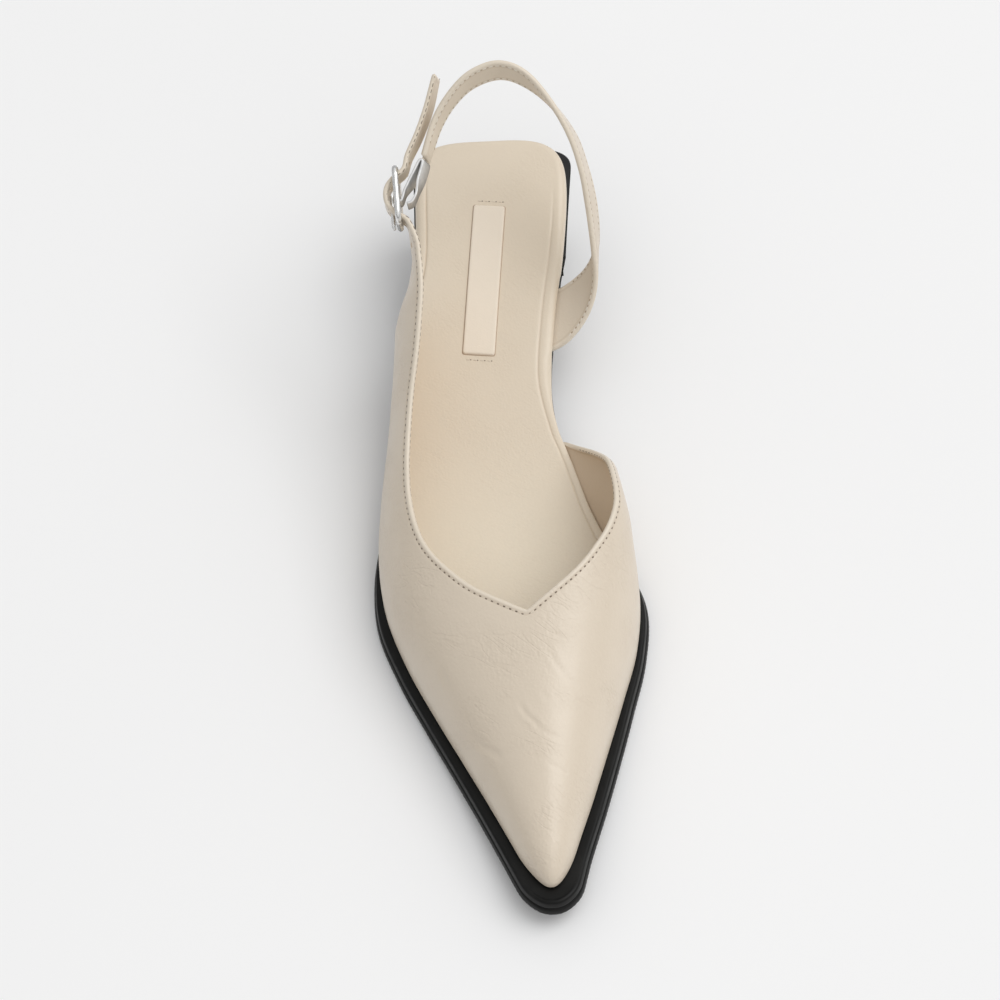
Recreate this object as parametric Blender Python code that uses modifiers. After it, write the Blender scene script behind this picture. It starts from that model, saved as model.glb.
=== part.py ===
"""Right slingback shoe: pointed asymmetric vamp, closed outer quarter, block heel, buckled heel strap.

All sizes are in millimetres and are scaled to metres when a mesh is made. A point is given as
(across, station, height): across is positive towards the inner side of the foot, station runs from the
back of the seat to the toe, and height is above the floor. The finished shoe has its toe towards -Y,
its inner side towards +X and its soles on Z = 0, with the origin under the middle of its length and width.
"""

import math
from collections import namedtuple

import bmesh
import bpy
import numpy as np

MM = 0.001
GAP = 0.3

# Where the frame's origin lies, across and along the shoe
ORIGIN_ACROSS = -5.3
ORIGIN_STATION = 136.6

# The last: the bottom's outline (lateral, medial), the height of the sole's top under it, the crown line of
# the body above it with its slope across, and for each side the lean of the foot edge and the fullness
Last = namedtuple(
    "Last",
    "station lateral medial floor crown_across crown tilt lateral_lean lateral_full medial_lean medial_full",
)
LAST = (
    Last(0, -26.2, 25.4, 36.8, 0.0, 86.0, 0, 0, 0.45, 0, 0.60),
    Last(24, -26.8, 24.8, 32.6, -0.5, 84.0, 0, 6, 0.45, 4, 0.60),
    Last(45, -28.4, 21.8, 27.5, -1.0, 80.0, 0, 12, 0.45, 8, 0.60),
    Last(67, -33.0, 17.2, 21.3, -1.5, 74.0, 2, 17, 0.45, 14, 0.65),
    Last(90, -36.6, 14.3, 14.3, -2.0, 66.0, 4, 16, 0.45, 22, 0.75),
    Last(110, -40.2, 16.8, 9.6, -1.5, 60.0, 6, 13, 0.48, 27, 0.85),
    Last(130, -43.9, 22.5, 6.9, -0.5, 53.5, 8, 11, 0.52, 33, 1.20),
    Last(150, -45.8, 30.5, 6.0, 0.2, 48.8, 8, 9, 0.58, 23, 1.20),
    Last(168, -44.4, 35.6, 6.0, 0.6, 44.9, 7, 7, 0.68, 9, 0.82),
    Last(187, -38.6, 33.6, 6.0, 0.7, 39.6, 6, 5, 0.72, 5, 0.70),
    Last(205, -30.9, 27.8, 6.5, 1.0, 34.6, 5, 4, 0.66, 4, 0.64),
    Last(222, -23.1, 21.9, 7.5, 1.2, 30.2, 4, 3, 0.62, 3, 0.60),
    Last(240, -15.0, 15.6, 9.0, 1.3, 25.8, 3, 2, 0.58, 2, 0.57),
    Last(256, -8.2, 9.7, 10.6, 1.4, 22.0, 2, 1, 0.56, 1, 0.56),
    Last(268, -3.4, 6.0, 11.9, 1.4, 19.4, 0, 0, 0.54, 0, 0.54),
    Last(274, -1.2, 3.6, 12.5, 1.4, 18.1, 0, 0, 0.54, 0, 0.54),
)
TOE_TIP = 268.0
TOE_ROUNDING = 13.0
TOE_ROUND_POWER = 2.3
SEAT_ROUNDING = 21.0
SEAT_ROUND_POWER = 3.7
SEAT_TURN = 0.05
SEAT_TURN_FADES = 40.0
TOE_TURN = 0.05
TOE_TURN_FADES = 12.0
SECTION_RISE = 0.54

# Outsole: how far its edge stands out from the last, and the height of its underside
Sole = namedtuple("Sole", "station lateral_margin medial_margin underside")
SOLE = (
    Sole(44, -0.4, -0.4, 24.2),
    Sole(67, 0.0, -0.2, 18.0),
    Sole(90, 0.3, -0.2, 10.9),
    Sole(110, 0.6, 0.0, 5.4),
    Sole(130, 1.2, 0.8, 1.6),
    Sole(150, 3.0, 2.0, -0.4),
    Sole(168, 3.9, 2.8, -0.5),
    Sole(187, 3.8, 2.9, -0.4),
    Sole(205, 3.8, 3.3, 0.3),
    Sole(222, 4.0, 3.8, 1.3),
    Sole(240, 4.3, 4.1, 2.8),
    Sole(256, 4.5, 4.3, 4.2),
    Sole(268, 4.5, 4.2, 5.3),
    Sole(274, 4.4, 4.1, 5.8),
)
SOLE_BACK = 44.4
SOLE_TOE = 274.0
SOLE_TOE_ROUNDING = 8.5
SOLE_TOE_POWER = 2.3
# Side of the outsole from top to bottom: inset of the edge, share of the thickness above the underside
SideStep = namedtuple("SideStep", "inset share")
SOLE_SIDE = (
    SideStep(0.5, 1.0),
    SideStep(0.0, 0.91),
    SideStep(0.0, 0.62),
    SideStep(0.45, 0.57),
    SideStep(0.45, 0.52),
    SideStep(0.1, 0.47),
    SideStep(0.2, 0.15),
    SideStep(0.9, 0.0),
)

# Covered insole: thickness along its length, and its rolled edge from the underside to the top
Board = namedtuple("Board", "station thickness")
INSOLE = (
    Board(0, 5.6),
    Board(45, 5.4),
    Board(90, 5.0),
    Board(115, 4.2),
    Board(140, 3.0),
    Board(268, 2.4),
)
INSOLE_EDGE = (
    SideStep(1.4, 0.0),
    SideStep(0.4, 0.2),
    SideStep(0.0, 0.45),
    SideStep(0.3, 0.72),
    SideStep(1.3, 0.93),
    SideStep(2.6, 1.0),
)
INSOLE_TOE = 259.0
INSOLE_INSET = 2.3
QUARTER_COVERS_FROM = (40.0, 68.0)
VAMP_COVERS_FROM = (84.0, 106.6)
# Share of the upper's lean that the insole's edge follows
EDGE_FOLLOWS_WALL = 0.8
TUCK_FROM_TO = (50.5, 82.0)
TUCK_FADE = 3.0
TUCK_DEPTH = 8.0
TUCK_EDGE_SHARE = 0.8
TUCK_LIFT = 2.5

# Bare patch on the seat: its size, and where its centre lies across and along the insole
LABEL_LENGTH = 52.0
LABEL_WIDTH = 10.6
LABEL_THICKNESS = 0.6
LABEL_CENTRE = (-5.3, 51.8)
LABEL_TURN = 8.4
LABEL_STEPS = 9

# Block heel
Heel = namedtuple("Heel", "back front half_width_back half_width_front")
HEEL_TOP = Heel(-0.4, 43.4, 27.5, 25.6)
HEEL_BOTTOM = Heel(4.2, 46.4, 22.0, 21.4)
HEEL_CENTRE_AT_BACK = 1.0
HEEL_CENTRE_TURN = -0.09
HEEL_ROUNDING = 11.0
HEEL_ROUND_POWER = 3.2
HEEL_EDGE = 0.5
TOP_PIECE_HEIGHT = 5.2
TOP_PIECE_EDGE = 0.6

# Upper
WALL = 1.6
FOOT_GAP = 0.4
COLUMNS = 9
SUB_ROWS = 3
# Share of each half section, from the sole's edge to the crown, that the leather covers behind the throat,
# and how far the wall below the cut edge swells out
Topline = namedtuple("Topline", "station share bow", defaults=(0,))
LATERAL_TOPLINE = (
    Topline(95, 0.500),
    Topline(103, 0.478),
    Topline(121, 0.466),
    Topline(139, 0.491),
    Topline(159, 0.595),
    Topline(170, 0.710),
    Topline(177, 0.800),
    Topline(183, 0.914),
    Topline(187.3, 1.0),
)
MEDIAL_TOPLINE = (
    Topline(107.6, 0.02),
    Topline(112, 0.080, 0.9),
    Topline(118, 0.170, 2.4),
    Topline(124, 0.265, 3.2),
    Topline(130, 0.360, 2.7),
    Topline(137, 0.450, 1.2),
    Topline(144, 0.507, 0.3),
    Topline(153, 0.560),
    Topline(165, 0.640),
    Topline(176, 0.775),
    Topline(183, 0.912),
    Topline(187.3, 1.0),
)
THROAT = 187.3
SECTION_STATIONS_BEHIND = 3.4
SECTION_STATIONS_AHEAD = 4.0
# Back of the outer quarter: each row runs from its back edge or the sole up to the topline. A row with no
# place across lies on the last's own wall
Fan = namedtuple("Fan", "low_station low_height low_across up_station up_height up_across")
QUARTER = (
    Fan(55.2, 55.2, -27.8, 59.6, 64.4, -25.7),
    Fan(59.6, 47.6, -27.9, 64.0, 62.0, -25.3),
    Fan(64.6, 38.0, -30.0, 68.5, 60.0, -25.1),
    Fan(68.6, 29.4, -33.2, 73.0, 58.4, -25.1),
    Fan(71.8, None, None, 77.5, 56.4, None),
    Fan(77.2, None, None, 81.5, 54.6, None),
    Fan(83.0, None, None, 85.7, 52.8, None),
    Fan(89.0, None, None, 90.2, 50.8, None),
)
# Buckle strap: centre line, pitch and roll of its width, width, and how far its lower corner is cut back
Strap = namedtuple("Strap", "across station height pitch roll width cut")
STRAP_WIDTH = 9.0
TAIL = (
    Strap(-15.2, 9.6, 86.5, 33, 6, 8.6, 0.6),
    Strap(-16.0, 11.6, 85.1, 33, 8, STRAP_WIDTH, 0.4),
    Strap(-18.8, 18.2, 80.2, 31, 11, STRAP_WIDTH, 0),
    Strap(-22.6, 25.0, 75.6, 27, 8, STRAP_WIDTH, 0),
    Strap(-26.6, 30.9, 71.9, 23, 3, STRAP_WIDTH, 0),
)
TAIL_RUN = (0.35, -0.77, 0.53)

# Buckle: a frame standing along the strap, tipped down towards the toe
BUCKLE_CENTRE = (-30.5, 43.5, 66.4)
BUCKLE_PITCH = 21.8
BUCKLE_LENGTH = 20.6
BUCKLE_WIDTH = 14.6
BUCKLE_CORNER = 3.6
WIRE = 1.0
CENTRE_WIRE = 0.9
# Strap's arch from under the end bars over the centre bar: share of the way to a bar, outer face's place
Arch = namedtuple("Arch", "share out")
ARCH = (Arch(1.0, -2.2), Arch(0.74, 0.9), Arch(0.4, 3.65), Arch(0.0, 4.5))
PRONG_WIRE = 0.7
PRONG_ROOT = -0.9
PRONG_TIP = 1.4
PRONG_HOLE = 1.05
PRONG_HOLE_FROM_TO = (0.8, 8.0)
HOOK_WIDTH = 6.4
HOOK_THICKNESS = 0.8
# Hook plate's fold in the buckle's axes: inner leg, hairpin at the sling's end, outer leg, curl at the bar
Bend = namedtuple("Bend", "along out")
HOOK = (
    Bend(2.9, -3.0),
    Bend(2.3, -4.6),
    Bend(0.4, -5.9),
    Bend(-3.6, -7.4),
    Bend(-7.8, -9.0),
    Bend(-10.9, -10.0),
    Bend(-11.6, -9.4),
    Bend(-10.6, -8.4),
    Bend(-7.6, -6.7),
    Bend(-4.4, -4.7),
    Bend(-1.6, -2.6),
    Bend(0.4, -1.8),
    Bend(1.6, -1.2),
    Bend(1.9, -0.2),
)

# Sling strap: its upper and lower edge from the tucked tab at the inner waist round the heel to the hook
Sling = namedtuple("Sling", "up_across up_station up_height low_across low_station low_height")
SLING = (
    Sling(10.3, 76.5, 19.7, 13.4, 56.0, 25.8),
    Sling(15.8, 76.2, 19.9, 18.8, 55.4, 26.1),
    Sling(21.2, 74.9, 22.6, 23.6, 54.6, 28.6),
    Sling(26.4, 71.6, 27.0, 28.0, 54.0, 33.0),
    Sling(29.9, 67.8, 32.4, 31.2, 52.6, 37.6),
    Sling(31.6, 63.4, 38.6, 33.0, 50.6, 42.2),
    Sling(31.7, 58.8, 45.4, 33.8, 48.0, 46.4),
    Sling(31.3, 53.6, 52.8, 34.0, 44.8, 50.8),
    Sling(30.7, 47.6, 61.0, 33.6, 40.6, 56.0),
    Sling(29.6, 40.9, 69.8, 32.0, 34.6, 62.8),
    Sling(26.8, 32.9, 78.0, 29.0, 27.0, 70.4),
    Sling(21.4, 24.2, 86.0, 22.6, 20.2, 77.8),
    Sling(14.4, 16.8, 92.4, 14.2, 15.2, 83.2),
    Sling(5.9, 13.2, 94.2, 6.3, 12.6, 85.0),
    Sling(-3.4, 14.8, 92.4, -2.6, 13.6, 83.2),
    Sling(-10.6, 18.9, 88.0, -9.4, 16.6, 79.0),
    Sling(-16.6, 25.0, 82.2, -15.0, 21.8, 73.6),
    Sling(-21.2, 33.6, 74.6, -20.0, 30.2, 66.2),
)
SLING_THICKNESS = 1.8
SLING_SUB_ROWS = 5
EDGE_ROUND = 0.5

# Finish of each material: colour, roughness and metallic value
Finish = namedtuple("Finish", "red green blue roughness metallic")
FINISHES = {
    "oat_leather": Finish(0.66, 0.56, 0.44, 0.42, 0.0),
    "insole_leather": Finish(0.58, 0.46, 0.33, 0.5, 0.0),
    "label_cream": Finish(0.74, 0.68, 0.55, 0.55, 0.0),
    "black_sole": Finish(0.014, 0.014, 0.014, 0.38, 0.0),
    "black_heel": Finish(0.018, 0.019, 0.02, 0.32, 0.0),
    "silver_metal": Finish(0.75, 0.75, 0.74, 0.2, 1.0),
}


def smooth(table, name, stations):
    """One column of a section table as a smooth curve, read at the given stations."""
    known = np.array([row.station for row in table], float)
    values = np.array([getattr(row, name) for row in table], float)
    slopes = np.gradient(values, known)
    stations = np.clip(np.asarray(stations, float), known[0], known[-1])
    i = np.clip(np.searchsorted(known, stations, side="right") - 1, 0, len(known) - 2)
    step = known[i + 1] - known[i]
    t = (stations - known[i]) / step
    return (
        values[i] * (1 + 2 * t) * (1 - t) ** 2
        + slopes[i] * step * t * (1 - t) ** 2
        + values[i + 1] * t**2 * (3 - 2 * t)
        + slopes[i + 1] * step * t**2 * (t - 1)
    )


def through_rows(rows, sub_rows):
    """Smooth curves through corresponding points of successive rows, with extra rows between them."""
    rows = np.asarray(rows, float)
    slopes = np.gradient(rows, axis=0)
    made = []
    for k in range(len(rows) - 1):
        for t in np.arange(sub_rows) / sub_rows:
            made.append(
                rows[k] * (1 + 2 * t) * (1 - t) ** 2
                + slopes[k] * t * (1 - t) ** 2
                + rows[k + 1] * t**2 * (3 - 2 * t)
                + slopes[k + 1] * t**2 * (t - 1)
            )
    made.append(rows[-1])
    return np.array(made)


def fade(value, start, end):
    """0 before start, 1 after end, and smooth between them."""
    t = np.clip((np.asarray(value, float) - start) / (end - start), 0, 1)
    return t * t * (3 - 2 * t)


def rounded_end(distance, length, power):
    """Share of the full width at a distance from a rounded end."""
    t = np.clip(1 - np.asarray(distance, float) / length, 0, 1)
    return (1 - t**power) ** (1 / power)


def floor_height(stations):
    """Height of the surface that the insole and the upper stand on."""
    return smooth(LAST, "floor", stations)


def eased(start, end, count):
    """Stations that crowd towards both ends."""
    return start + (end - start) * (1 - np.cos(np.linspace(0, math.pi, count))) / 2


def ring_of(stations, lateral, medial):
    """A closed plan outline: up the lateral side and back down the medial side."""
    sides = [np.column_stack([lateral, stations]), np.column_stack([medial, stations])[::-1]]
    return np.concatenate(sides)


def narrowed_ring(stations, lateral, medial, keep):
    """A closed plan outline with its width narrowed to a share of the full one."""
    middle = (lateral + medial) / 2
    return ring_of(stations, middle + (lateral - middle) * keep, middle + (medial - middle) * keep)


def turned_ends(ring):
    """The outline with its seat end turned outwards and its toe end turned inwards."""
    across, stations = ring[:, 0], ring[:, 1]
    at_seat = SEAT_TURN * (1 - fade(stations, 0, SEAT_TURN_FADES))
    at_toe = TOE_TURN * fade(stations, SOLE_TOE - TOE_TURN_FADES, SOLE_TOE)
    return np.column_stack([across, stations + across * (at_seat + at_toe)])


def inset_ring(ring, inset):
    """The outline moved inwards along its own normals."""
    along = np.roll(ring, -1, axis=0) - np.roll(ring, 1, axis=0)
    along /= np.linalg.norm(along, axis=1)[:, None]
    inward = np.column_stack([along[:, 1], -along[:, 0]])
    return ring + inward * np.broadcast_to(inset, len(ring))[:, None]


def placed(points):
    """Shoe points (across, station, height) in the finished frame, in metres."""
    points = np.asarray(points, float)
    moved = np.stack(
        [points[..., 0] - ORIGIN_ACROSS, ORIGIN_STATION - points[..., 1], points[..., 2]], axis=-1
    )
    return moved * MM


def material_of(name):
    """The material of one finish, made once."""
    found = bpy.data.materials.get(name)
    if found:
        return found
    finish = FINISHES[name]
    made = bpy.data.materials.new(name)
    made.use_nodes = True
    shader = made.node_tree.nodes["Principled BSDF"]
    shader.inputs["Base Color"].default_value = (finish.red, finish.green, finish.blue, 1)
    shader.inputs["Roughness"].default_value = finish.roughness
    shader.inputs["Metallic"].default_value = finish.metallic
    return made


def add_object(name, mesh, collection, finish):
    """A named object with its material, shaded smooth except at sharp edges."""
    obj = bpy.data.objects.new(name, mesh)
    collection.objects.link(obj)
    mesh.materials.append(material_of(finish))
    mesh.shade_smooth()
    mesh.set_sharp_from_angle(angle=math.radians(40))
    return obj


def mesh_of(name, points, faces):
    """A mesh from shoe points and faces, with its faces turned outwards."""
    mesh = bpy.data.meshes.new(name)
    mesh.from_pydata(placed(points).tolist(), [], faces)
    shape = bmesh.new()
    shape.from_mesh(mesh)
    bmesh.ops.recalc_face_normals(shape, faces=shape.faces)
    shape.to_mesh(mesh)
    shape.free()
    return mesh


def layered_mesh(name, layers):
    """A closed solid from outlines stacked in height, each cap a ladder of rungs across the outline."""
    count = len(layers[0])
    points = np.concatenate(layers)
    faces = []
    for level in range(len(layers) - 1):
        for i in range(count):
            a = level * count + i
            b = level * count + (i + 1) % count
            faces.append((a, b, b + count, a + count))
    for base in (0, (len(layers) - 1) * count):
        for i in range(count // 2 - 1):
            other = count - 1 - i
            faces.append((base + i, base + i + 1, base + other - 1, base + other))
    return mesh_of(name, points, faces)


def lofted_mesh(name, sections):
    """A closed solid through a row of like sections, capped at both ends."""
    rows, count = sections.shape[:2]
    faces = [tuple(range(count)), tuple(range((rows - 1) * count, rows * count))]
    for row in range(rows - 1):
        for i in range(count):
            a = row * count + i
            b = row * count + (i + 1) % count
            faces.append((a, b, b + count, a + count))
    return mesh_of(name, sections.reshape(-1, 3), faces)


def with_height(ring, height):
    """Plan points with their height beside them."""
    return np.column_stack([ring, np.broadcast_to(height, len(ring))])


def make_outsole(collection):
    """Black unit sole: wide at the pointed forefoot, thin at the waist, with a groove along its side."""
    stations = eased(SOLE_BACK, SOLE_TOE - 0.05, 64)
    lateral_margin = smooth(SOLE, "lateral_margin", stations)
    medial_margin = smooth(SOLE, "medial_margin", stations)
    lateral = smooth(LAST, "lateral", stations)
    medial = smooth(LAST, "medial", stations)
    # The margin stands out square to the outline, which tapers towards the toe
    lateral -= lateral_margin * np.hypot(1, np.gradient(lateral, stations))
    medial += medial_margin * np.hypot(1, np.gradient(medial, stations))
    keep = rounded_end(SOLE_TOE - stations, SOLE_TOE_ROUNDING, SOLE_TOE_POWER)
    ring = turned_ends(narrowed_ring(stations, lateral, medial, keep))
    layers = []
    for step in SOLE_SIDE:
        moved = inset_ring(ring, step.inset)
        underside = np.maximum(smooth(SOLE, "underside", moved[:, 1]), 0)
        height = underside + (floor_height(moved[:, 1]) - underside) * step.share
        layers.append(with_height(moved, height))
    mesh = layered_mesh("outsole", layers)
    return add_object("outsole", mesh, collection, "black_sole")


def heel_ring(heel):
    """Plan outline of the heel: square at the breast, rounded at its back corners."""
    stations = heel.back + (heel.front - heel.back) * np.linspace(0, 1, 26) ** 1.8
    share = (stations - heel.back) / (heel.front - heel.back)
    half = heel.half_width_back + (heel.half_width_front - heel.half_width_back) * share
    half = half * np.maximum(rounded_end(stations - heel.back, HEEL_ROUNDING, HEEL_ROUND_POWER), 0.3)
    centre = HEEL_CENTRE_AT_BACK + HEEL_CENTRE_TURN * stations
    return turned_ends(ring_of(stations, centre - half, centre + half))


def make_heel_block(collection):
    """Block heel, tapering down to its top piece, with the seat's slope on its upper face."""
    top = heel_ring(HEEL_TOP)
    bottom = heel_ring(HEEL_BOTTOM)
    face = inset_ring(top, HEEL_EDGE)
    layers = [
        with_height(face, floor_height(face[:, 1]) - GAP / 2),
        with_height(top, floor_height(top[:, 1]) - GAP / 2 - HEEL_EDGE),
        with_height(bottom, TOP_PIECE_HEIGHT + GAP),
    ]
    mesh = layered_mesh("heel_block", layers)
    return add_object("heel_block", mesh, collection, "black_heel")


def make_heel_top_piece(collection):
    """Lift under the heel block, flat on the floor."""
    ring = heel_ring(HEEL_BOTTOM)
    layers = [
        with_height(ring, TOP_PIECE_HEIGHT),
        with_height(ring, TOP_PIECE_EDGE),
        with_height(inset_ring(ring, TOP_PIECE_EDGE), 0),
    ]
    mesh = layered_mesh("heel_top_piece", layers)
    return add_object("heel_top_piece", mesh, collection, "black_sole")


def insole_outline():
    """Plan outline of the insole: bare at seat and inner waist, inside the upper further forward."""
    stations = eased(0.04, INSOLE_TOE, 56)
    lateral = smooth(LAST, "lateral", stations)
    medial = smooth(LAST, "medial", stations)
    lateral_inset = INSOLE_INSET * fade(stations, *QUARTER_COVERS_FROM)
    medial_inset = INSOLE_INSET * fade(stations, *VAMP_COVERS_FROM)
    lateral += lateral_inset * np.hypot(1, np.gradient(lateral, stations))
    medial -= medial_inset * np.hypot(1, np.gradient(medial, stations))
    keep = rounded_end(stations, SEAT_ROUNDING, SEAT_ROUND_POWER)
    keep = np.minimum(keep, rounded_end(INSOLE_TOE + 0.1 - stations, TOE_ROUNDING / 2, TOE_ROUND_POWER))
    return turned_ends(narrowed_ring(stations, lateral, medial, keep))


def wall_lean(ring, is_medial):
    """How far the upper's wall leans out for each millimetre of height, where it covers the insole's edge."""
    stations = ring[:, 1]
    medial = np.tan(np.radians(smooth(LAST, "medial_lean", stations)))
    lateral = np.tan(np.radians(smooth(LAST, "lateral_lean", stations)))
    covered_medial = fade(stations, *VAMP_COVERS_FROM)
    covered_lateral = fade(stations, *QUARTER_COVERS_FROM)
    return np.where(is_medial, medial * covered_medial, lateral * covered_lateral)


def insole_top(stations):
    """Height of the insole's upper face."""
    return floor_height(stations) + GAP + smooth(INSOLE, "thickness", stations)


def make_insole(collection):
    """Covered board with rolled edges, relieved underneath where the sling's tab is tucked in."""
    ring = insole_outline()
    start, end = TUCK_FROM_TO
    is_medial = np.arange(len(ring)) >= len(ring) // 2
    tucked = fade(ring[:, 1], start, start + TUCK_FADE) * (1 - fade(ring[:, 1], end - TUCK_FADE, end))
    tucked = tucked * is_medial
    lean = EDGE_FOLLOWS_WALL * wall_lean(ring, is_medial)
    underside = inset_ring(ring, INSOLE_EDGE[0].inset + TUCK_DEPTH * tucked)
    layers = [with_height(underside, floor_height(underside[:, 1]) + GAP)]
    for step in INSOLE_EDGE:
        flare = lean * smooth(INSOLE, "thickness", ring[:, 1]) * step.share
        relief = TUCK_DEPTH * TUCK_EDGE_SHARE * tucked * (step.share == 0)
        moved = inset_ring(ring, step.inset - flare + relief)
        lift = TUCK_LIFT * tucked * (1 - step.share) + 0.1 * (step.share == 0)
        thickness = smooth(INSOLE, "thickness", moved[:, 1])
        height = floor_height(moved[:, 1]) + GAP + lift + thickness * step.share
        layers.append(with_height(moved, height))
    mesh = layered_mesh("insole", layers)
    return add_object("insole", mesh, collection, "insole_leather")


def make_label(collection):
    """Bare patch laid on the seat, following its slope."""
    turn = math.radians(LABEL_TURN)
    rungs = []
    for along in np.linspace(-LABEL_LENGTH / 2, LABEL_LENGTH / 2, LABEL_STEPS):
        for side in (-LABEL_WIDTH / 2, LABEL_WIDTH / 2):
            across = LABEL_CENTRE[0] + side * math.cos(turn) - along * math.sin(turn)
            station = LABEL_CENTRE[1] + along * math.cos(turn) + side * math.sin(turn)
            rungs.append((across, station))
    plan = np.array(rungs)
    ring = np.concatenate([plan[0::2], plan[1::2][::-1]])
    low = insole_top(ring[:, 1]) + GAP
    layers = [with_height(ring, low), with_height(ring, low + LABEL_THICKNESS)]
    mesh = layered_mesh("insole_label", layers)
    return add_object("insole_label", mesh, collection, "label_cream")


def section_points(station, side, shares):
    """Points of one half section of the last, from the sole's edge (share 0) to the crown (share 1)."""
    outward = -1 if side == "lateral" else 1
    row = {name: float(smooth(LAST, name, station)) for name in Last._fields[1:]}
    height = row["crown"] - row["floor"]
    middle = (row["lateral"] + row["medial"]) / 2
    keep = float(rounded_end(TOE_TIP - station, TOE_ROUNDING, TOE_ROUND_POWER))
    crown = np.array([middle + (row["crown_across"] - middle) * keep, row["floor"] + height * keep])
    foot = np.array([middle + (row[side] - middle) * keep, row["floor"] + FOOT_GAP])
    lean = math.radians(row[side + "_lean"])
    tilt = math.radians(row["tilt"])
    rise = SECTION_RISE * (crown[1] - foot[1])
    flat = row[side + "_full"] * abs(foot[0] - crown[0])
    first = foot + rise * np.array([outward * math.tan(lean), 1.0])
    second = crown + flat * np.array([outward, outward * math.tan(tilt)])
    t = np.asarray(shares, float)[:, None]
    curve = foot * (1 - t) ** 3 + 3 * first * t * (1 - t) ** 2 + 3 * second * t**2 * (1 - t) + crown * t**3
    return np.column_stack([curve[:, 0], np.full(len(t), station), curve[:, 1]])


def wing_bow(shares):
    """Swell of the inner wing from the sole (share 0) to its cut edge (share 1), 1 where it is fullest."""
    return 27 / 4 * shares**2 * (1 - shares)


def wall_across(station, height):
    """How far out the lateral wall of the last lies at one station and height."""
    curve = section_points(station, "lateral", np.linspace(0, 1, 60))
    return float(np.interp(height, curve[:, 2], curve[:, 0]))


def buckle_point(along, out, up=0.0):
    """A point in the buckle's own axes: along the strap towards the toe, out from the foot, up across it."""
    pitch = math.radians(BUCKLE_PITCH)
    station = BUCKLE_CENTRE[1] + along * math.cos(pitch) + up * math.sin(pitch)
    height = BUCKLE_CENTRE[2] - along * math.sin(pitch) + up * math.cos(pitch)
    return np.array([BUCKLE_CENTRE[0] - out, station, height])


def strap_rows():
    """The buckle strap's centre line from its tip to the buckle's front bar."""
    reach = BUCKLE_LENGTH / 2 - WIRE
    arch = [(-reach * step.share, step.out) for step in ARCH]
    arch += [(reach * step.share, step.out) for step in ARCH[-2::-1]]
    rows = list(TAIL)
    for along, out in arch:
        rows.append(Strap(*buckle_point(along, out), BUCKLE_PITCH, 0, STRAP_WIDTH, 0))
    return rows


def strap_line(row):
    """Points across the strap at one row, from its lower to its upper edge."""
    pitch, roll = math.radians(row.pitch), math.radians(row.roll)
    up = np.array([-math.sin(roll), math.sin(pitch) * math.cos(roll), math.cos(pitch) * math.cos(roll)])
    centre = np.array([row.across, row.station, row.height])
    shares = np.linspace(0, 1, COLUMNS)[:, None]
    return centre + up * (shares - 0.5) * row.width - np.array(TAIL_RUN) * (1 - shares) * row.cut


def quarter_line(row):
    """Points up the outer quarter at one row, on the last's own wall."""
    low = floor_height(row.low_station) + FOOT_GAP if row.low_height is None else row.low_height
    shares = np.linspace(0, 1, COLUMNS)
    stations = row.low_station + (row.up_station - row.low_station) * shares
    heights = low + (row.up_height - low) * shares
    wall = np.array([wall_across(s, z) for s, z in zip(stations, heights)])
    low_off = 0 if row.low_across is None else row.low_across - wall[0]
    up_off = 0 if row.up_across is None else row.up_across - wall[-1]
    return np.column_stack([wall + low_off + (up_off - low_off) * shares, stations, heights])


def upper_rows():
    """Rows of the lateral strip, tip of the strap to toe, and of the medial strip, inner waist to toe."""
    shares = np.linspace(0, 1, COLUMNS)
    lateral_start = LATERAL_TOPLINE[0].station
    medial_start = MEDIAL_TOPLINE[0].station
    behind = np.linspace(lateral_start, THROAT, int((THROAT - lateral_start) / SECTION_STATIONS_BEHIND))
    inner = np.linspace(medial_start, THROAT, int((THROAT - medial_start) / SECTION_STATIONS_BEHIND))
    ahead_count = int((TOE_TIP - THROAT) / SECTION_STATIONS_AHEAD)
    ahead = eased(2 * THROAT - TOE_TIP, TOE_TIP - 0.02, 2 * ahead_count + 1)
    ahead = ahead[ahead > THROAT + 1]
    back = [strap_line(row) for row in strap_rows()] + [quarter_line(row) for row in QUARTER]
    back.append(section_points(lateral_start, "lateral", shares * LATERAL_TOPLINE[0].share))
    lateral = list(through_rows(back, SUB_ROWS)[:-1])
    for station in behind:
        share = float(smooth(LATERAL_TOPLINE, "share", station))
        lateral.append(section_points(station, "lateral", shares * share))
    medial = []
    for station in inner:
        share = float(smooth(MEDIAL_TOPLINE, "share", station))
        row = section_points(station, "medial", shares * share)
        row[:, 0] += float(smooth(MEDIAL_TOPLINE, "bow", station)) * wing_bow(shares)
        medial.append(row)
    for station in ahead:
        lateral.append(section_points(station, "lateral", shares))
        medial.append(section_points(station, "medial", shares))
    return np.array(lateral), np.array(medial), len(ahead)


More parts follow.
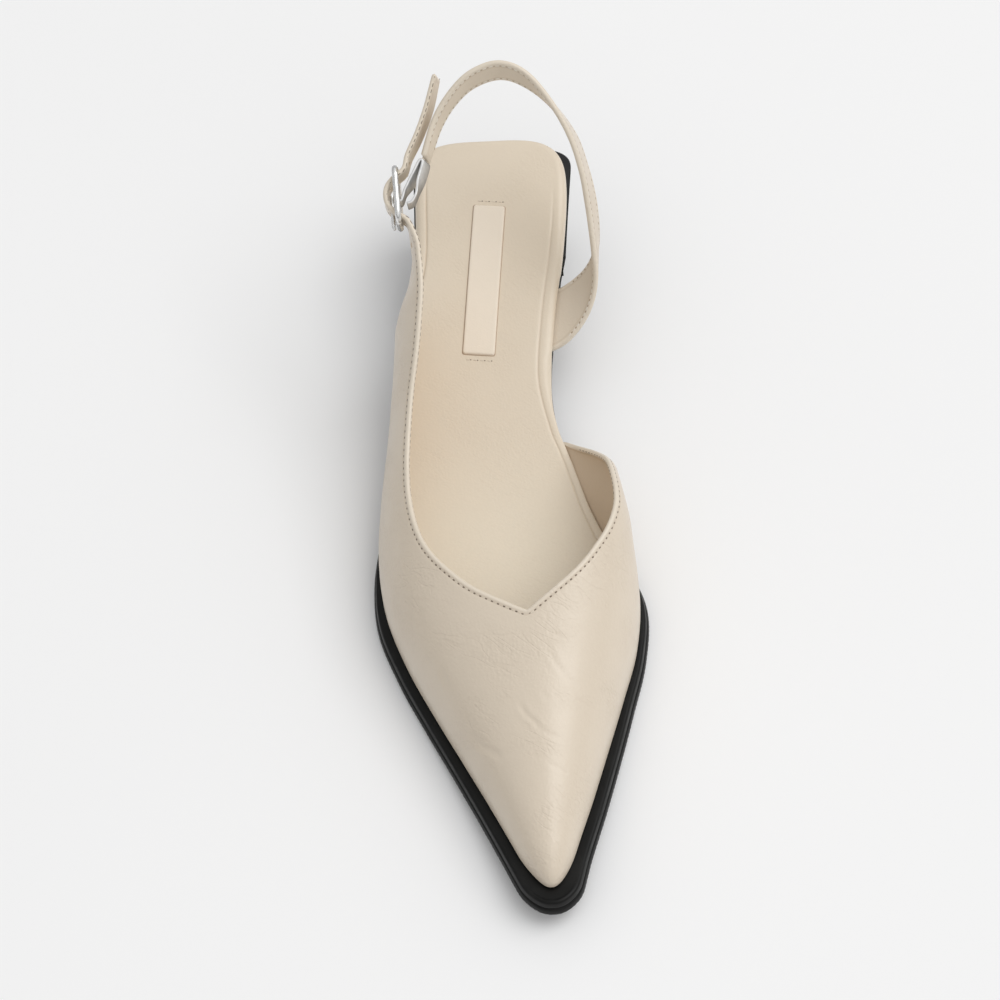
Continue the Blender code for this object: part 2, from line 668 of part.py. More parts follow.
def make_upper(collection, cutters):
    """Vamp, outer quarter and buckle strap as one leather shell, open at throat, inner waist and heel."""
    lateral, medial, shared = upper_rows()
    shape = bmesh.new()
    crowns = {}

    def strip(rows, shares_crown):
        grid = []
        for i, row in enumerate(rows):
            from_toe = len(rows) - 1 - i
            line = [shape.verts.new(p) for p in placed(row[:-1])]
            # Both strips end on one crown line from the throat to the toe
            if from_toe <= shared and shares_crown:
                line.append(crowns[from_toe])
            else:
                line.append(shape.verts.new(placed(row[-1])))
                if from_toe <= shared:
                    crowns[from_toe] = line[-1]
            grid.append(line)
        for first, second in zip(grid, grid[1:]):
            for j in range(len(first) - 1):
                shape.faces.new((first[j], second[j], second[j + 1], first[j + 1]))
        return grid

    outer = strip(lateral, False)
    inner = strip(medial, True)
    # The last row of both strips closes the rounded toe
    shape.faces.new(outer[-1] + inner[-1][-2::-1])
    bmesh.ops.recalc_face_normals(shape, faces=shape.faces)
    crown_face = max(shape.faces, key=lambda face: face.calc_center_median().z * (face.normal.z > 0.5))
    if crown_face.normal.z < 0:
        bmesh.ops.reverse_faces(shape, faces=shape.faces)
    mesh = bpy.data.meshes.new("upper")
    shape.to_mesh(mesh)
    shape.free()
    upper = add_object("upper", mesh, collection, "oat_leather")
    wall = upper.modifiers.new("leather", "SOLIDIFY")
    wall.thickness = WALL * MM
    wall.offset = -1
    hole = upper.modifiers.new("prong_hole", "BOOLEAN")
    hole.operation = "DIFFERENCE"
    hole.object = make_prong_hole(cutters)
    return upper


def make_prong_hole(cutters):
    """Round cutter along the prong, through the strap's arch."""
    start, end = PRONG_HOLE_FROM_TO
    radius = PRONG_HOLE * MM
    shape = bmesh.new()
    bmesh.ops.create_cone(
        shape, cap_ends=True, segments=16, radius1=radius, radius2=radius, depth=(end - start) * MM
    )
    mesh = bpy.data.meshes.new("prong_hole")
    shape.to_mesh(mesh)
    shape.free()
    hole = bpy.data.objects.new("prong_hole", mesh)
    cutters.objects.link(hole)
    hole.location = placed(buckle_point((start + end) / 2, CENTRE_WIRE + GAP + PRONG_WIRE))
    hole.rotation_euler = (math.radians(90 + BUCKLE_PITCH), 0, 0)
    hole.hide_render = True
    hole.display_type = "WIRE"
    return hole


def make_sling(collection):
    """Heel strap: a broad tab tucked under the insole that turns and narrows into the strap."""
    rows = through_rows([(row[:3], row[3:]) for row in SLING], SLING_SUB_ROWS)
    upper, lower = rows[:, 0], rows[:, 1]
    middle = (upper + lower) / 2
    along = np.gradient(middle, axis=0)
    across = upper - lower
    half = np.linalg.norm(across, axis=1)[:, None] / 2
    across = across / (2 * half)
    facing = np.cross(along, across)
    facing /= np.linalg.norm(facing, axis=1)[:, None]
    thick = SLING_THICKNESS / 2
    outer_edge = ((1, -1, 0), (1, -1, 1), (1, 1, 1), (1, 1, 0))
    inner_edge = ((-1, 1, 0), (-1, 1, 1), (-1, -1, 1), (-1, -1, 0))
    sections = []
    for edge, face, on_edge in outer_edge + inner_edge:
        reach = half - (0 if on_edge else EDGE_ROUND)
        depth = thick - (EDGE_ROUND if on_edge else 0)
        sections.append(middle + across * edge * reach + facing * face * depth)
    mesh = lofted_mesh("sling_strap", np.stack(sections, axis=1))
    return add_object("sling_strap", mesh, collection, "oat_leather")


def wire_mesh(name, points, radius, cyclic):
    """A round wire along the given shoe points, as a closed mesh."""
    curve = bpy.data.curves.new(name, "CURVE")
    curve.dimensions = "3D"
    curve.bevel_depth = radius * MM
    curve.bevel_resolution = 2
    curve.use_fill_caps = True
    spline = curve.splines.new("POLY")
    spline.points.add(len(points) - 1)
    for knot, point in zip(spline.points, placed(points)):
        knot.co = (*point, 1)
    spline.use_cyclic_u = cyclic
    guide = bpy.data.objects.new(name, curve)
    bpy.context.scene.collection.objects.link(guide)
    bpy.context.view_layer.update()
    made = guide.evaluated_get(bpy.context.evaluated_depsgraph_get())
    mesh = bpy.data.meshes.new_from_object(made)
    mesh.name = name
    bpy.data.objects.remove(guide)
    bpy.data.curves.remove(curve)
    shape = bmesh.new()
    shape.from_mesh(mesh)
    bmesh.ops.remove_doubles(shape, verts=shape.verts, dist=1e-6)
    bmesh.ops.recalc_face_normals(shape, faces=shape.faces)
    shape.to_mesh(mesh)
    shape.free()
    return mesh


def make_buckle_frame(collection, cutters):
    """Silver frame with rounded corners and a bar across its middle."""
    half_length = BUCKLE_LENGTH / 2 - WIRE
    half_width = BUCKLE_WIDTH / 2 - WIRE
    ring = []
    for quarter in range(4):
        sign_along = (1, -1, -1, 1)[quarter]
        sign_up = (1, 1, -1, -1)[quarter]
        for turn in np.linspace(0, math.pi / 2, 6):
            angle = turn + quarter * math.pi / 2
            along = sign_along * (half_length - BUCKLE_CORNER) + BUCKLE_CORNER * math.cos(angle)
            up = sign_up * (half_width - BUCKLE_CORNER) + BUCKLE_CORNER * math.sin(angle)
            ring.append(buckle_point(along, 0, up))
    mesh = wire_mesh("buckle_frame", ring, WIRE, True)
    frame = add_object("buckle_frame", mesh, collection, "silver_metal")
    bar_ends = [buckle_point(0, 0, up) for up in np.linspace(-half_width, half_width, 5)]
    bar = bpy.data.objects.new("centre_bar", wire_mesh("centre_bar", bar_ends, CENTRE_WIRE, False))
    cutters.objects.link(bar)
    bar.hide_render = True
    bar.display_type = "WIRE"
    joined = frame.modifiers.new("centre_bar", "BOOLEAN")
    joined.operation = "UNION"
    joined.object = bar
    return frame


def make_buckle_prong(collection):
    """Prong on the centre bar, out through the strap's arch and over the front bar."""
    front = BUCKLE_LENGTH / 2 - WIRE
    on_centre = CENTRE_WIRE + GAP + PRONG_WIRE
    on_front = WIRE + GAP + PRONG_WIRE
    path = [
        (PRONG_ROOT, on_centre),
        (front / 2, on_centre),
        (front, on_front),
        (front + PRONG_TIP, on_front - GAP),
    ]
    points = [buckle_point(along, out) for along, out in path]
    mesh = wire_mesh("buckle_prong", points, PRONG_WIRE, False)
    return add_object("buckle_prong", mesh, collection, "silver_metal")


def make_buckle_hook(collection):
    """Hook plate: a strip folded at the sling's end, which catches the centre bar from inside."""
    line = through_rows(HOOK, 3)
    along = np.gradient(line, axis=0)
    along /= np.linalg.norm(along, axis=1)[:, None]
    normal = np.column_stack([-along[:, 1], along[:, 0]])
    sections = []
    for middle, across in zip(line, normal):
        section = []
        for up, face in ((1, 1), (1, -1), (-1, -1), (-1, 1)):
            spot = middle + across * face * HOOK_THICKNESS / 2
            section.append(buckle_point(spot[0], spot[1], up * HOOK_WIDTH / 2))
        sections.append(section)
    mesh = lofted_mesh("buckle_hook", np.array(sections))
    return add_object("buckle_hook", mesh, collection, "silver_metal")


def main():
    for obj in list(bpy.data.objects):
        bpy.data.objects.remove(obj)
    shoe = bpy.data.collections.new("slingback_shoe")
    cutters = bpy.data.collections.new("cutters")
    bpy.context.scene.collection.children.link(shoe)
    bpy.context.scene.collection.children.link(cutters)
    make_outsole(shoe)
    make_heel_block(shoe)
    make_heel_top_piece(shoe)
    make_insole(shoe)
    make_label(shoe)
    make_upper(shoe, cutters)
    make_sling(shoe)
    make_buckle_frame(shoe, cutters)
    make_buckle_prong(shoe)
    make_buckle_hook(shoe)


main()
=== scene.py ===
"""Looks of a right slingback shoe: leather upper, rolled insole, black sole, block heel, silver buckle.

Shoe points are (across, station, height) in millimetres: across is positive towards the inner side of the
foot, station runs from the back of the seat to the toe, and height is above the floor.
"""

import logging
import math
from dataclasses import dataclass
from enum import Enum
from typing import NamedTuple, Sequence

import bmesh
import bpy
import numpy as np
from mathutils import Matrix, Vector, kdtree, noise

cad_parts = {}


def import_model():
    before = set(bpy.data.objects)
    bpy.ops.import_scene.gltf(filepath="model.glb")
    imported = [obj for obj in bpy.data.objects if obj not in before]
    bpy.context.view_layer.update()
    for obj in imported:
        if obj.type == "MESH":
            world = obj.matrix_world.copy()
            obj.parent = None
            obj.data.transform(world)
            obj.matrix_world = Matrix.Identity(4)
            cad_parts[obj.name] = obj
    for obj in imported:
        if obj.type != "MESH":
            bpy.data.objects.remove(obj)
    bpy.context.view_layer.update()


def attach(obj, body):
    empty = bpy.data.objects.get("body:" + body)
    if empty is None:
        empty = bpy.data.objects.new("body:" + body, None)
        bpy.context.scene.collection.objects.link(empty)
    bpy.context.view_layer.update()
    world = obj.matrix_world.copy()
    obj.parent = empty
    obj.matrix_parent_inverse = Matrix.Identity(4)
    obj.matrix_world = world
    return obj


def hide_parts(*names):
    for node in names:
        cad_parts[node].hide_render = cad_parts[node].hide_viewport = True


LOG = logging.getLogger("slingback_shoe")

MM = 0.001
SEAM_GAP = 0.3
ORIGIN_ACROSS = -5.3
ORIGIN_STATION = 136.6
# Distances from a turned edge that the finishes read, in millimetres
FAR_FROM_EDGE = 9.0
GROOVE_FROM_EDGE = 1.8

Pair = tuple[float, float]
Triple = tuple[float, float, float]
Colour = Triple
Faces = list[tuple[int, ...]]
Mesh = tuple[np.ndarray, Faces]
# Points, faces and a number for each face
Shell = tuple[np.ndarray, Faces, np.ndarray]


class LastRow(NamedTuple):
    """One section of the last."""

    station: float
    lateral: float
    medial: float
    floor: float
    crown_across: float
    crown: float
    tilt: float
    lateral_lean: float
    lateral_full: float
    medial_lean: float
    medial_full: float


class SoleRow(NamedTuple):
    """One section of the sole: how far its edge stands out from the last, and its underside."""

    station: float
    lateral_margin: float
    medial_margin: float
    underside: float


class Board(NamedTuple):
    """Thickness of the insole at one station."""

    station: float
    thickness: float


class Topline(NamedTuple):
    """Share of a half section that the leather covers at one station, and the swell of the wall below."""

    station: float
    share: float
    bow: float = 0.0


class Step(NamedTuple):
    """One level of an edge profile: inset of the outline and share or rise of the height."""

    inset: float
    level: float


def steps(*pairs: Pair) -> tuple[Step, ...]:
    """Steps of an edge profile from pairs of inset and level."""
    return tuple(Step(*pair) for pair in pairs)


class Fan(NamedTuple):
    """One row of the outer quarter, from its back edge or the sole up to the topline."""

    low_station: float
    low_height: float | None
    low_across: float | None
    up_station: float
    up_height: float
    up_across: float | None


class StrapRow(NamedTuple):
    """One row of the buckle strap: centre, pitch and roll of its width, width, cut of its lower corner."""

    across: float
    station: float
    height: float
    pitch: float
    roll: float
    width: float
    cut: float = 0.0


class SlingRow(NamedTuple):
    """Upper and lower edge of the heel strap at one row."""

    up_across: float
    up_station: float
    up_height: float
    low_across: float
    low_station: float
    low_height: float


class Side(Enum):
    """The two sides of the shoe."""

    LATERAL = "lateral"
    MEDIAL = "medial"

    @property
    def outward(self) -> int:
        """Sign of the direction across the shoe that leads outwards on this side."""
        return -1 if self is Side.LATERAL else 1


def smooth_between(
    start: np.ndarray, end: np.ndarray, leaving: np.ndarray, arriving: np.ndarray, t: np.ndarray | float
) -> np.ndarray:
    """Values from start to end at the shares t, with given slopes at both ends."""
    return (
        start * (1 + 2 * t) * (1 - t) ** 2
        + leaving * t * (1 - t) ** 2
        + end * t**2 * (3 - 2 * t)
        + arriving * t**2 * (t - 1)
    )


def smooth(table: Sequence[NamedTuple], name: str, stations: np.ndarray | float) -> np.ndarray:
    """Read one column of a section table as a smooth curve.

    Args:
        table: Rows with a station each.
        name: Column to read.
        stations: Where to read it.

    Returns:
        The column's values at the stations.
    """
    known = np.array([row.station for row in table], float)
    values = np.array([getattr(row, name) for row in table], float)
    slopes = np.gradient(values, known)
    stations = np.clip(np.asarray(stations, float), known[0], known[-1])
    i = np.clip(np.searchsorted(known, stations, side="right") - 1, 0, len(known) - 2)
    step = known[i + 1] - known[i]
    t = (stations - known[i]) / step
    return smooth_between(values[i], values[i + 1], slopes[i] * step, slopes[i + 1] * step, t)


def through_rows(rows: Sequence, sub_rows: int) -> np.ndarray:
    """Smooth curves through corresponding points of successive rows.

    Args:
        rows: Arrays of one shape each.
        sub_rows: Steps from each row to the next.

    Returns:
        All rows, given and made, in order.
    """
    rows = np.asarray(rows, float)
    slopes = np.gradient(rows, axis=0)
    made = []
    for k in range(len(rows) - 1):
        for t in np.arange(sub_rows) / sub_rows:
            made.append(smooth_between(rows[k], rows[k + 1], slopes[k], slopes[k + 1], t))
    made.append(rows[-1])
    return np.array(made)


def fade(value: np.ndarray | float, start: float, end: float) -> np.ndarray:
    """0 before start, 1 after end, and smooth between them."""
    t = np.clip((np.asarray(value, float) - start) / (end - start), 0, 1)
    return t * t * (3 - 2 * t)


def hump(value: np.ndarray, centre: float, width: float) -> np.ndarray:
    """A soft bell round a centre."""
    return np.exp(-(((value - centre) / width) ** 2))


def rounded_end(distance: np.ndarray | float, length: float, power: float) -> np.ndarray:
    """Share of the full width at a distance from a rounded end."""
    t = np.clip(1 - np.asarray(distance, float) / length, 0, 1)
    return (1 - t**power) ** (1 / power)


def eased(start: float, end: float, count: int) -> np.ndarray:
    """Stations that crowd towards both ends."""
    return start + (end - start) * (1 - np.cos(np.linspace(0, math.pi, count))) / 2


def ring_of(stations: np.ndarray, lateral: np.ndarray, medial: np.ndarray) -> np.ndarray:
    """A closed plan outline: up the lateral side and back down the medial side."""
    return np.concatenate([np.column_stack([lateral, stations]), np.column_stack([medial, stations])[::-1]])


def evened_ring(ring: np.ndarray) -> np.ndarray:
    """The outline with each of its two sides divided evenly along its length."""
    half = len(ring) // 2
    return np.concatenate([evened(ring[:half], half), evened(ring[half:], half)])


def evened(line: np.ndarray, count: int) -> np.ndarray:
    """A line divided evenly along its length."""
    return line_at(line, np.linspace(0, line_lengths(line)[-1], count))


def line_lengths(line: np.ndarray) -> np.ndarray:
    """Length of a line up to each of its points."""
    return np.concatenate([[0], np.cumsum(np.linalg.norm(np.diff(line, axis=0), axis=1))])


def line_at(line: np.ndarray, lengths: np.ndarray) -> np.ndarray:
    """Points of a line at the given lengths along it."""
    known = line_lengths(line)
    return np.column_stack([np.interp(lengths, known, line[:, k]) for k in range(line.shape[1])])


def unit(vectors: np.ndarray) -> np.ndarray:
    """Vectors, one in each row, at length one."""
    return vectors / np.linalg.norm(vectors, axis=1)[:, None]


def inset_ring(ring: np.ndarray, inset: np.ndarray | float) -> np.ndarray:
    """The outline moved inwards along its own normals."""
    along = np.roll(ring, -1, axis=0) - np.roll(ring, 1, axis=0)
    along = unit(along)
    inward = np.column_stack([along[:, 1], -along[:, 0]])
    return ring + inward * np.broadcast_to(inset, len(ring))[:, None]


def with_height(ring: np.ndarray, height: np.ndarray | float) -> np.ndarray:
    """Plan points with their height beside them."""
    return np.column_stack([ring, np.broadcast_to(height, len(ring))])


def placed(points: np.ndarray) -> np.ndarray:
    """Shoe points in the frame's axes, in metres."""
    points = np.asarray(points, float)
    axes = [points[..., 0] - ORIGIN_ACROSS, ORIGIN_STATION - points[..., 1], points[..., 2]]
    return np.stack(axes, axis=-1) * MM


class Graph:
    """A node tree while it is being wired."""

    def __init__(self, tree: bpy.types.NodeTree) -> None:
        """Keep the tree that is wired."""
        self.tree = tree

    def add(self, kind: str, settings: dict | None = None, **inputs: object) -> bpy.types.Node:
        """Add a node.

        Args:
            kind: Node type without its ShaderNode prefix.
            settings: Properties of the node.
            **inputs: Values or source sockets by input name, with _ for a space.

        Returns:
            The new node.
        """
        node = self.tree.nodes.new("ShaderNode" + kind)
        for key, value in (settings or {}).items():
            setattr(node, key, value)
        for key, value in inputs.items():
            self.feed(node.inputs[key.replace("_", " ")], value)
        return node

    def feed(self, socket: bpy.types.NodeSocket, value: object) -> None:
        """Set a socket to a value, or link it to a source socket."""
        if isinstance(value, bpy.types.NodeSocket):
            self.tree.links.new(value, socket)
        elif isinstance(value, tuple) and len(value) == 3 and socket.type == "RGBA":
            socket.default_value = (*value, 1)
        else:
            socket.default_value = value

    def math(self, operation: str, first: object, second: object = 0.0) -> bpy.types.NodeSocket:
        """Output of a Math node."""
        node = self.tree.nodes.new("ShaderNodeMath")
        node.operation = operation
        self.feed(node.inputs[0], first)
        self.feed(node.inputs[1], second)
        return node.outputs[0]

    def ranged(
        self, value: object, low: float, high: float, to_low: float, to_high: float
    ) -> bpy.types.NodeSocket:
        """Output of a smooth Map Range node."""
        node = self.tree.nodes.new("ShaderNodeMapRange")
        node.interpolation_type = "SMOOTHSTEP"
        self.feed(node.inputs["Value"], value)
        for name, number in (("From Min", low), ("From Max", high), ("To Min", to_low), ("To Max", to_high)):
            node.inputs[name].default_value = number
        return node.outputs["Result"]

    def blend(self, share: object, first: object, second: object) -> bpy.types.NodeSocket:
        """Colour mixed from two by a share."""
        node = self.tree.nodes.new("ShaderNodeMix")
        node.data_type = "RGBA"
        self.feed(node.inputs["Factor"], share)
        self.feed(node.inputs[6], first)
        self.feed(node.inputs[7], second)
        return node.outputs[2]

    def emboss(self, shader: bpy.types.Node, depth: float, height: bpy.types.NodeSocket) -> None:
        """Give a shader a fine relief of a depth in millimetres."""
        bump = self.add("Bump", Strength=1.0, Distance=depth * MM, Height=height)
        self.feed(shader.inputs["Normal"], bump.outputs["Normal"])


class SharedEffects:
    """Shader node groups that several finishes use."""

    def __init__(self) -> None:
        """Build each group once."""
        self.grain = self.leather_grain()
        self.edges = self.turned_edge()
        self.dust = self.handling()

    @staticmethod
    def new_group(name: str, inputs: dict[str, float], outputs: Sequence[str]) -> tuple[Graph, dict, dict]:
        """Start a node group.

        Args:
            name: Name of the group.
            inputs: Default value of each input.
            outputs: Names of the outputs.

        Returns:
            The graph, its input sockets and its output sockets by name.
        """
        tree = bpy.data.node_groups.new(name, "ShaderNodeTree")
        for key, value in inputs.items():
            socket = tree.interface.new_socket(name=key, in_out="INPUT", socket_type="NodeSocketFloat")
            socket.default_value = value
        for key in outputs:
            tree.interface.new_socket(name=key, in_out="OUTPUT", socket_type="NodeSocketFloat")
        start = tree.nodes.new("NodeGroupInput")
        end = tree.nodes.new("NodeGroupOutput")
        return (
            Graph(tree),
            {key: start.outputs[key] for key in inputs},
            {key: end.inputs[key] for key in outputs},
        )

    def leather_grain(self) -> bpy.types.NodeTree:
        """Pebbles, hair pores and shrink lines of fine leather, stronger in some patches than in others."""
        inputs = {"Scale": 1400.0, "Shrink": 0.5}
        graph, start, end = self.new_group("leather_grain", inputs, ("Height", "Tone"))
        place = graph.add("TexCoord").outputs["Object"]
        pebble = graph.add("TexVoronoi", {"feature": "SMOOTH_F1"}, Vector=place, Scale=start["Scale"])
        finer = graph.math("MULTIPLY", start["Scale"], 1.9)
        fine = graph.add("TexNoise", Vector=place, Scale=finer, Detail=2.0)
        patch = graph.add("TexNoise", Vector=place, Scale=52.0, Detail=2.0)
        lines = graph.add(
            "TexNoise",
            {"noise_type": "RIDGED_MULTIFRACTAL"},
            Vector=place,
            Scale=graph.math("MULTIPLY", start["Scale"], 0.22),
            Detail=3.0,
            Distortion=0.6,
        )
        slanted = graph.add(
            "Mapping",
            {"vector_type": "TEXTURE"},
            Vector=place,
            Rotation=(0.0, 0.0, -0.69),
            Scale=(4.5, 1.0, 1.6),
        )
        along = slanted.outputs["Vector"]
        fold = graph.add("TexNoise", Vector=along, Scale=330.0, Detail=1.0, Distortion=0.4)
        off = graph.math("ABSOLUTE", graph.math("SUBTRACT", fold.outputs["Fac"], 0.5))
        strong = graph.ranged(patch.outputs["Fac"], 0.36, 0.66, 0.25, 1.0)
        bumps = graph.ranged(pebble.outputs["Distance"], 0.05, 0.65, 1.0, 0.0)
        shrunk = graph.math("MULTIPLY", lines.outputs["Fac"], start["Shrink"])
        folded = graph.math("MULTIPLY", graph.ranged(off, 0.0, 0.05, 1.5, 0.0), start["Shrink"])
        folded = graph.math("MULTIPLY", folded, graph.ranged(patch.outputs["Fac"], 0.42, 0.6, 0.0, 1.0))
        raised = graph.math("MULTIPLY", graph.math("SUBTRACT", bumps, shrunk), strong)
        raised = graph.math("SUBTRACT", raised, folded)
        pores = graph.math("MULTIPLY", fine.outputs["Fac"], 0.35)
        graph.feed(end["Height"], graph.math("ADD", raised, pores))
        graph.feed(end["Tone"], patch.outputs["Fac"])
        return graph.tree

    def turned_edge(self) -> bpy.types.NodeTree:
        """Masks of a turned edge and of the sewn groove beside it, from the distance to the edge."""
        inputs = {"Distance": FAR_FROM_EDGE, "Groove": GROOVE_FROM_EDGE}
        graph, start, end = self.new_group("turned_edge", inputs, ("Lip", "Groove"))
        graph.feed(end["Lip"], graph.ranged(start["Distance"], 0.5, 1.5, 1.0, 0.0))
        off = graph.math("ABSOLUTE", graph.math("SUBTRACT", start["Distance"], start["Groove"]))
        graph.feed(end["Groove"], graph.ranged(off, 0.1, 0.6, 1.0, 0.0))
        return graph.tree

    def handling(self) -> bpy.types.NodeTree:
        """Faint dust and rubbing from handling."""
        graph, start, end = self.new_group("handling_marks", {"Scale": 90.0}, ("Dust", "Rub"))
        place = graph.add("TexCoord").outputs["Object"]
        cloud = graph.add("TexNoise", Vector=place, Scale=start["Scale"], Detail=4.0)
        speck = graph.add("TexNoise", Vector=place, Scale=2600.0, Detail=1.0)
        clouds = graph.ranged(cloud.outputs["Fac"], 0.4, 0.75, 0.0, 1.0)
        graph.feed(end["Dust"], graph.math("MULTIPLY", clouds, speck.outputs["Fac"]))
        graph.feed(end["Rub"], cloud.outputs["Fac"])
        return graph.tree


@dataclass(frozen=True)
class LeatherFinish:
    """A leather: its tones, its gloss and its grain, with painted shade in its sewn groove and grain hollows,
    and a forepart painted lighter where that is set.
    """

    name: str
    colour: Colour
    # Tone of the mottling, and of the painted shade in the sewn groove and the grain's low spots
    mottle_and_shade: Colour
    lip: Colour
    roughness: float
    coat: float
    grain_scale: float
    grain_depth: float
    shrink: float
    # How much the forepart is painted lighter, standing in for light that reaches it
    fore_painted_light: float = 0.0

    def material(self, effects: SharedEffects) -> bpy.types.Material:
        """The leather's material."""
        made, graph, shader = new_material(self.name)
        grain = graph.add("Group", {"node_tree": effects.grain}, Scale=self.grain_scale, Shrink=self.shrink)
        distance = graph.add("Attribute", {"attribute_name": "edge_mm"}).outputs["Fac"]
        edge = graph.add("Group", {"node_tree": effects.edges}, Distance=distance)
        tone = graph.ranged(grain.outputs["Tone"], 0.3, 0.7, 0.0, 0.55)
        mottle_tone = tuple(0.82 * c + 0.18 * d for c, d in zip(self.colour, self.mottle_and_shade))
        mottled = graph.blend(tone, self.colour, mottle_tone)
        # Painted light: towards the toe the tone turns to the lighter edge tone, standing in for light on the
        # forepart
        spot = graph.add("SeparateXYZ", Vector=graph.add("TexCoord").outputs["Object"])
        ahead = graph.ranged(spot.outputs["Y"], -0.02, 0.04, self.fore_painted_light, 0.0)
        mottled = graph.blend(ahead, mottled, self.lip)
        # Painted shade: the grain's low spots are darkened towards the shade tone
        pore_shade = graph.blend(graph.ranged(grain.outputs["Height"], 0.0, 0.4, 0.07, 0.0), mottled, self.mottle_and_shade)
        lipped = graph.blend(graph.math("MULTIPLY", edge.outputs["Lip"], 0.6), pore_shade, self.lip)
        # Painted shade: darker along the sewn groove beside a turned edge
        sewn = graph.blend(graph.math("MULTIPLY", edge.outputs["Groove"], 0.35), lipped, self.mottle_and_shade)
        graph.feed(shader.inputs["Base Color"], sewn)
        low, high = self.roughness - 0.05, self.roughness + 0.07
        graph.feed(shader.inputs["Roughness"], graph.ranged(grain.outputs["Tone"], 0.3, 0.7, low, high))
        shader.inputs["Coat Weight"].default_value = self.coat
        shader.inputs["Coat Roughness"].default_value = 0.3
        shader.inputs["Sheen Weight"].default_value = 0.05
        graph.emboss(shader, self.grain_depth, grain.outputs["Height"])
        return made


@dataclass(frozen=True)
class MouldedFinish:
    """A black moulded or lacquered surface."""

    name: str
    colour: Colour
    worn: Colour
    roughness: float
    specular: float
    stretch: Triple
    depth: float

    def material(self, effects: SharedEffects) -> bpy.types.Material:
        """The surface's material."""
        made, graph, shader = new_material(self.name)
        marks = graph.add("Group", {"node_tree": effects.dust}, Scale=110.0)
        place = graph.add("TexCoord").outputs["Object"]
        drawn = graph.add("Mapping", Vector=place, Scale=self.stretch)
        skin = graph.add("TexNoise", Vector=drawn.outputs["Vector"], Scale=900.0, Detail=3.0)
        dusty = graph.math("MULTIPLY", marks.outputs["Dust"], 0.45)
        graph.feed(shader.inputs["Base Color"], graph.blend(dusty, self.colour, self.worn))
        low, high = self.roughness - 0.06, self.roughness + 0.1
        graph.feed(shader.inputs["Roughness"], graph.ranged(marks.outputs["Rub"], 0.3, 0.7, low, high))
        shader.inputs["Specular IOR Level"].default_value = self.specular
        graph.emboss(shader, self.depth, skin.outputs["Fac"])
        return made


@dataclass(frozen=True)
class MetalFinish:
    """A polished metal with fine rubbing, and painted shade of its reflection towards grazing angles."""

    name: str
    colour: Colour
    roughness: float
    metallic: float = 1.0

    def material(self, effects: SharedEffects) -> bpy.types.Material:
        """The metal's material."""
        made, graph, shader = new_material(self.name)
        marks = graph.add("Group", {"node_tree": effects.dust}, Scale=400.0)
        dull = tuple(0.72 * c for c in self.colour)
        tone = graph.ranged(marks.outputs["Rub"], 0.35, 0.7, 0.0, 0.5)
        # Painted shade: the colour falls to a quarter where the surface turns away from the view, standing in
        # for dim reflections
        facing = graph.add("LayerWeight", Blend=0.5).outputs["Facing"]
        turned = graph.ranged(facing, 0.45, 0.95, 0.0, 1.0)
        rim_shade = tuple(0.25 * c for c in self.colour)
        rubbed = graph.blend(tone, self.colour, dull)
        graph.feed(shader.inputs["Base Color"], graph.blend(turned, rubbed, rim_shade))
        shader.inputs["Metallic"].default_value = self.metallic
        rough = graph.ranged(marks.outputs["Rub"], 0.3, 0.7, self.roughness, self.roughness + 0.12)
        graph.feed(shader.inputs["Roughness"], rough)
        graph.emboss(shader, 0.006, marks.outputs["Rub"])
        return made


@dataclass(frozen=True)
class ThreadFinish:
    """Sewing thread, or painted shade: beads at the needle holes and round the seat patch."""

    name: str
    colour: Colour
    light: Colour
    roughness: float

    def material(self, effects: SharedEffects) -> bpy.types.Material:
        """The thread's material."""
        made, graph, shader = new_material(self.name)
        marks = graph.add("Group", {"node_tree": effects.dust}, Scale=700.0)
        tone = graph.ranged(marks.outputs["Rub"], 0.3, 0.7, 0.0, 1.0)
        graph.feed(shader.inputs["Base Color"], graph.blend(tone, self.colour, self.light))
        shader.inputs["Roughness"].default_value = self.roughness
        place = graph.add("TexCoord").outputs["Object"]
        twist = graph.add("TexNoise", Vector=place, Scale=4200.0, Detail=1.0)
        graph.emboss(shader, 0.03, twist.outputs["Fac"])
        return made


def new_material(name: str) -> tuple[bpy.types.Material, Graph, bpy.types.Node]:
    """A new node material with its graph and its Principled shader."""
    made = bpy.data.materials.new(name)
    made.use_nodes = True
    return made, Graph(made.node_tree), made.node_tree.nodes["Principled BSDF"]


OAT_LEATHER = LeatherFinish(
    name="oat_leather_dressed", colour=(0.71, 0.615, 0.495), mottle_and_shade=(0.55, 0.45, 0.345),
    lip=(0.78, 0.70, 0.58), roughness=0.37, coat=0.22, grain_scale=1100.0, grain_depth=0.072,
    shrink=0.5,
)
LINING_LEATHER = LeatherFinish(
    name="lining_leather", colour=(0.68, 0.555, 0.415), mottle_and_shade=(0.52, 0.41, 0.29),
    lip=(0.76, 0.67, 0.55), roughness=0.55, coat=0.03, grain_scale=1700.0, grain_depth=0.020,
    shrink=0.3,
)
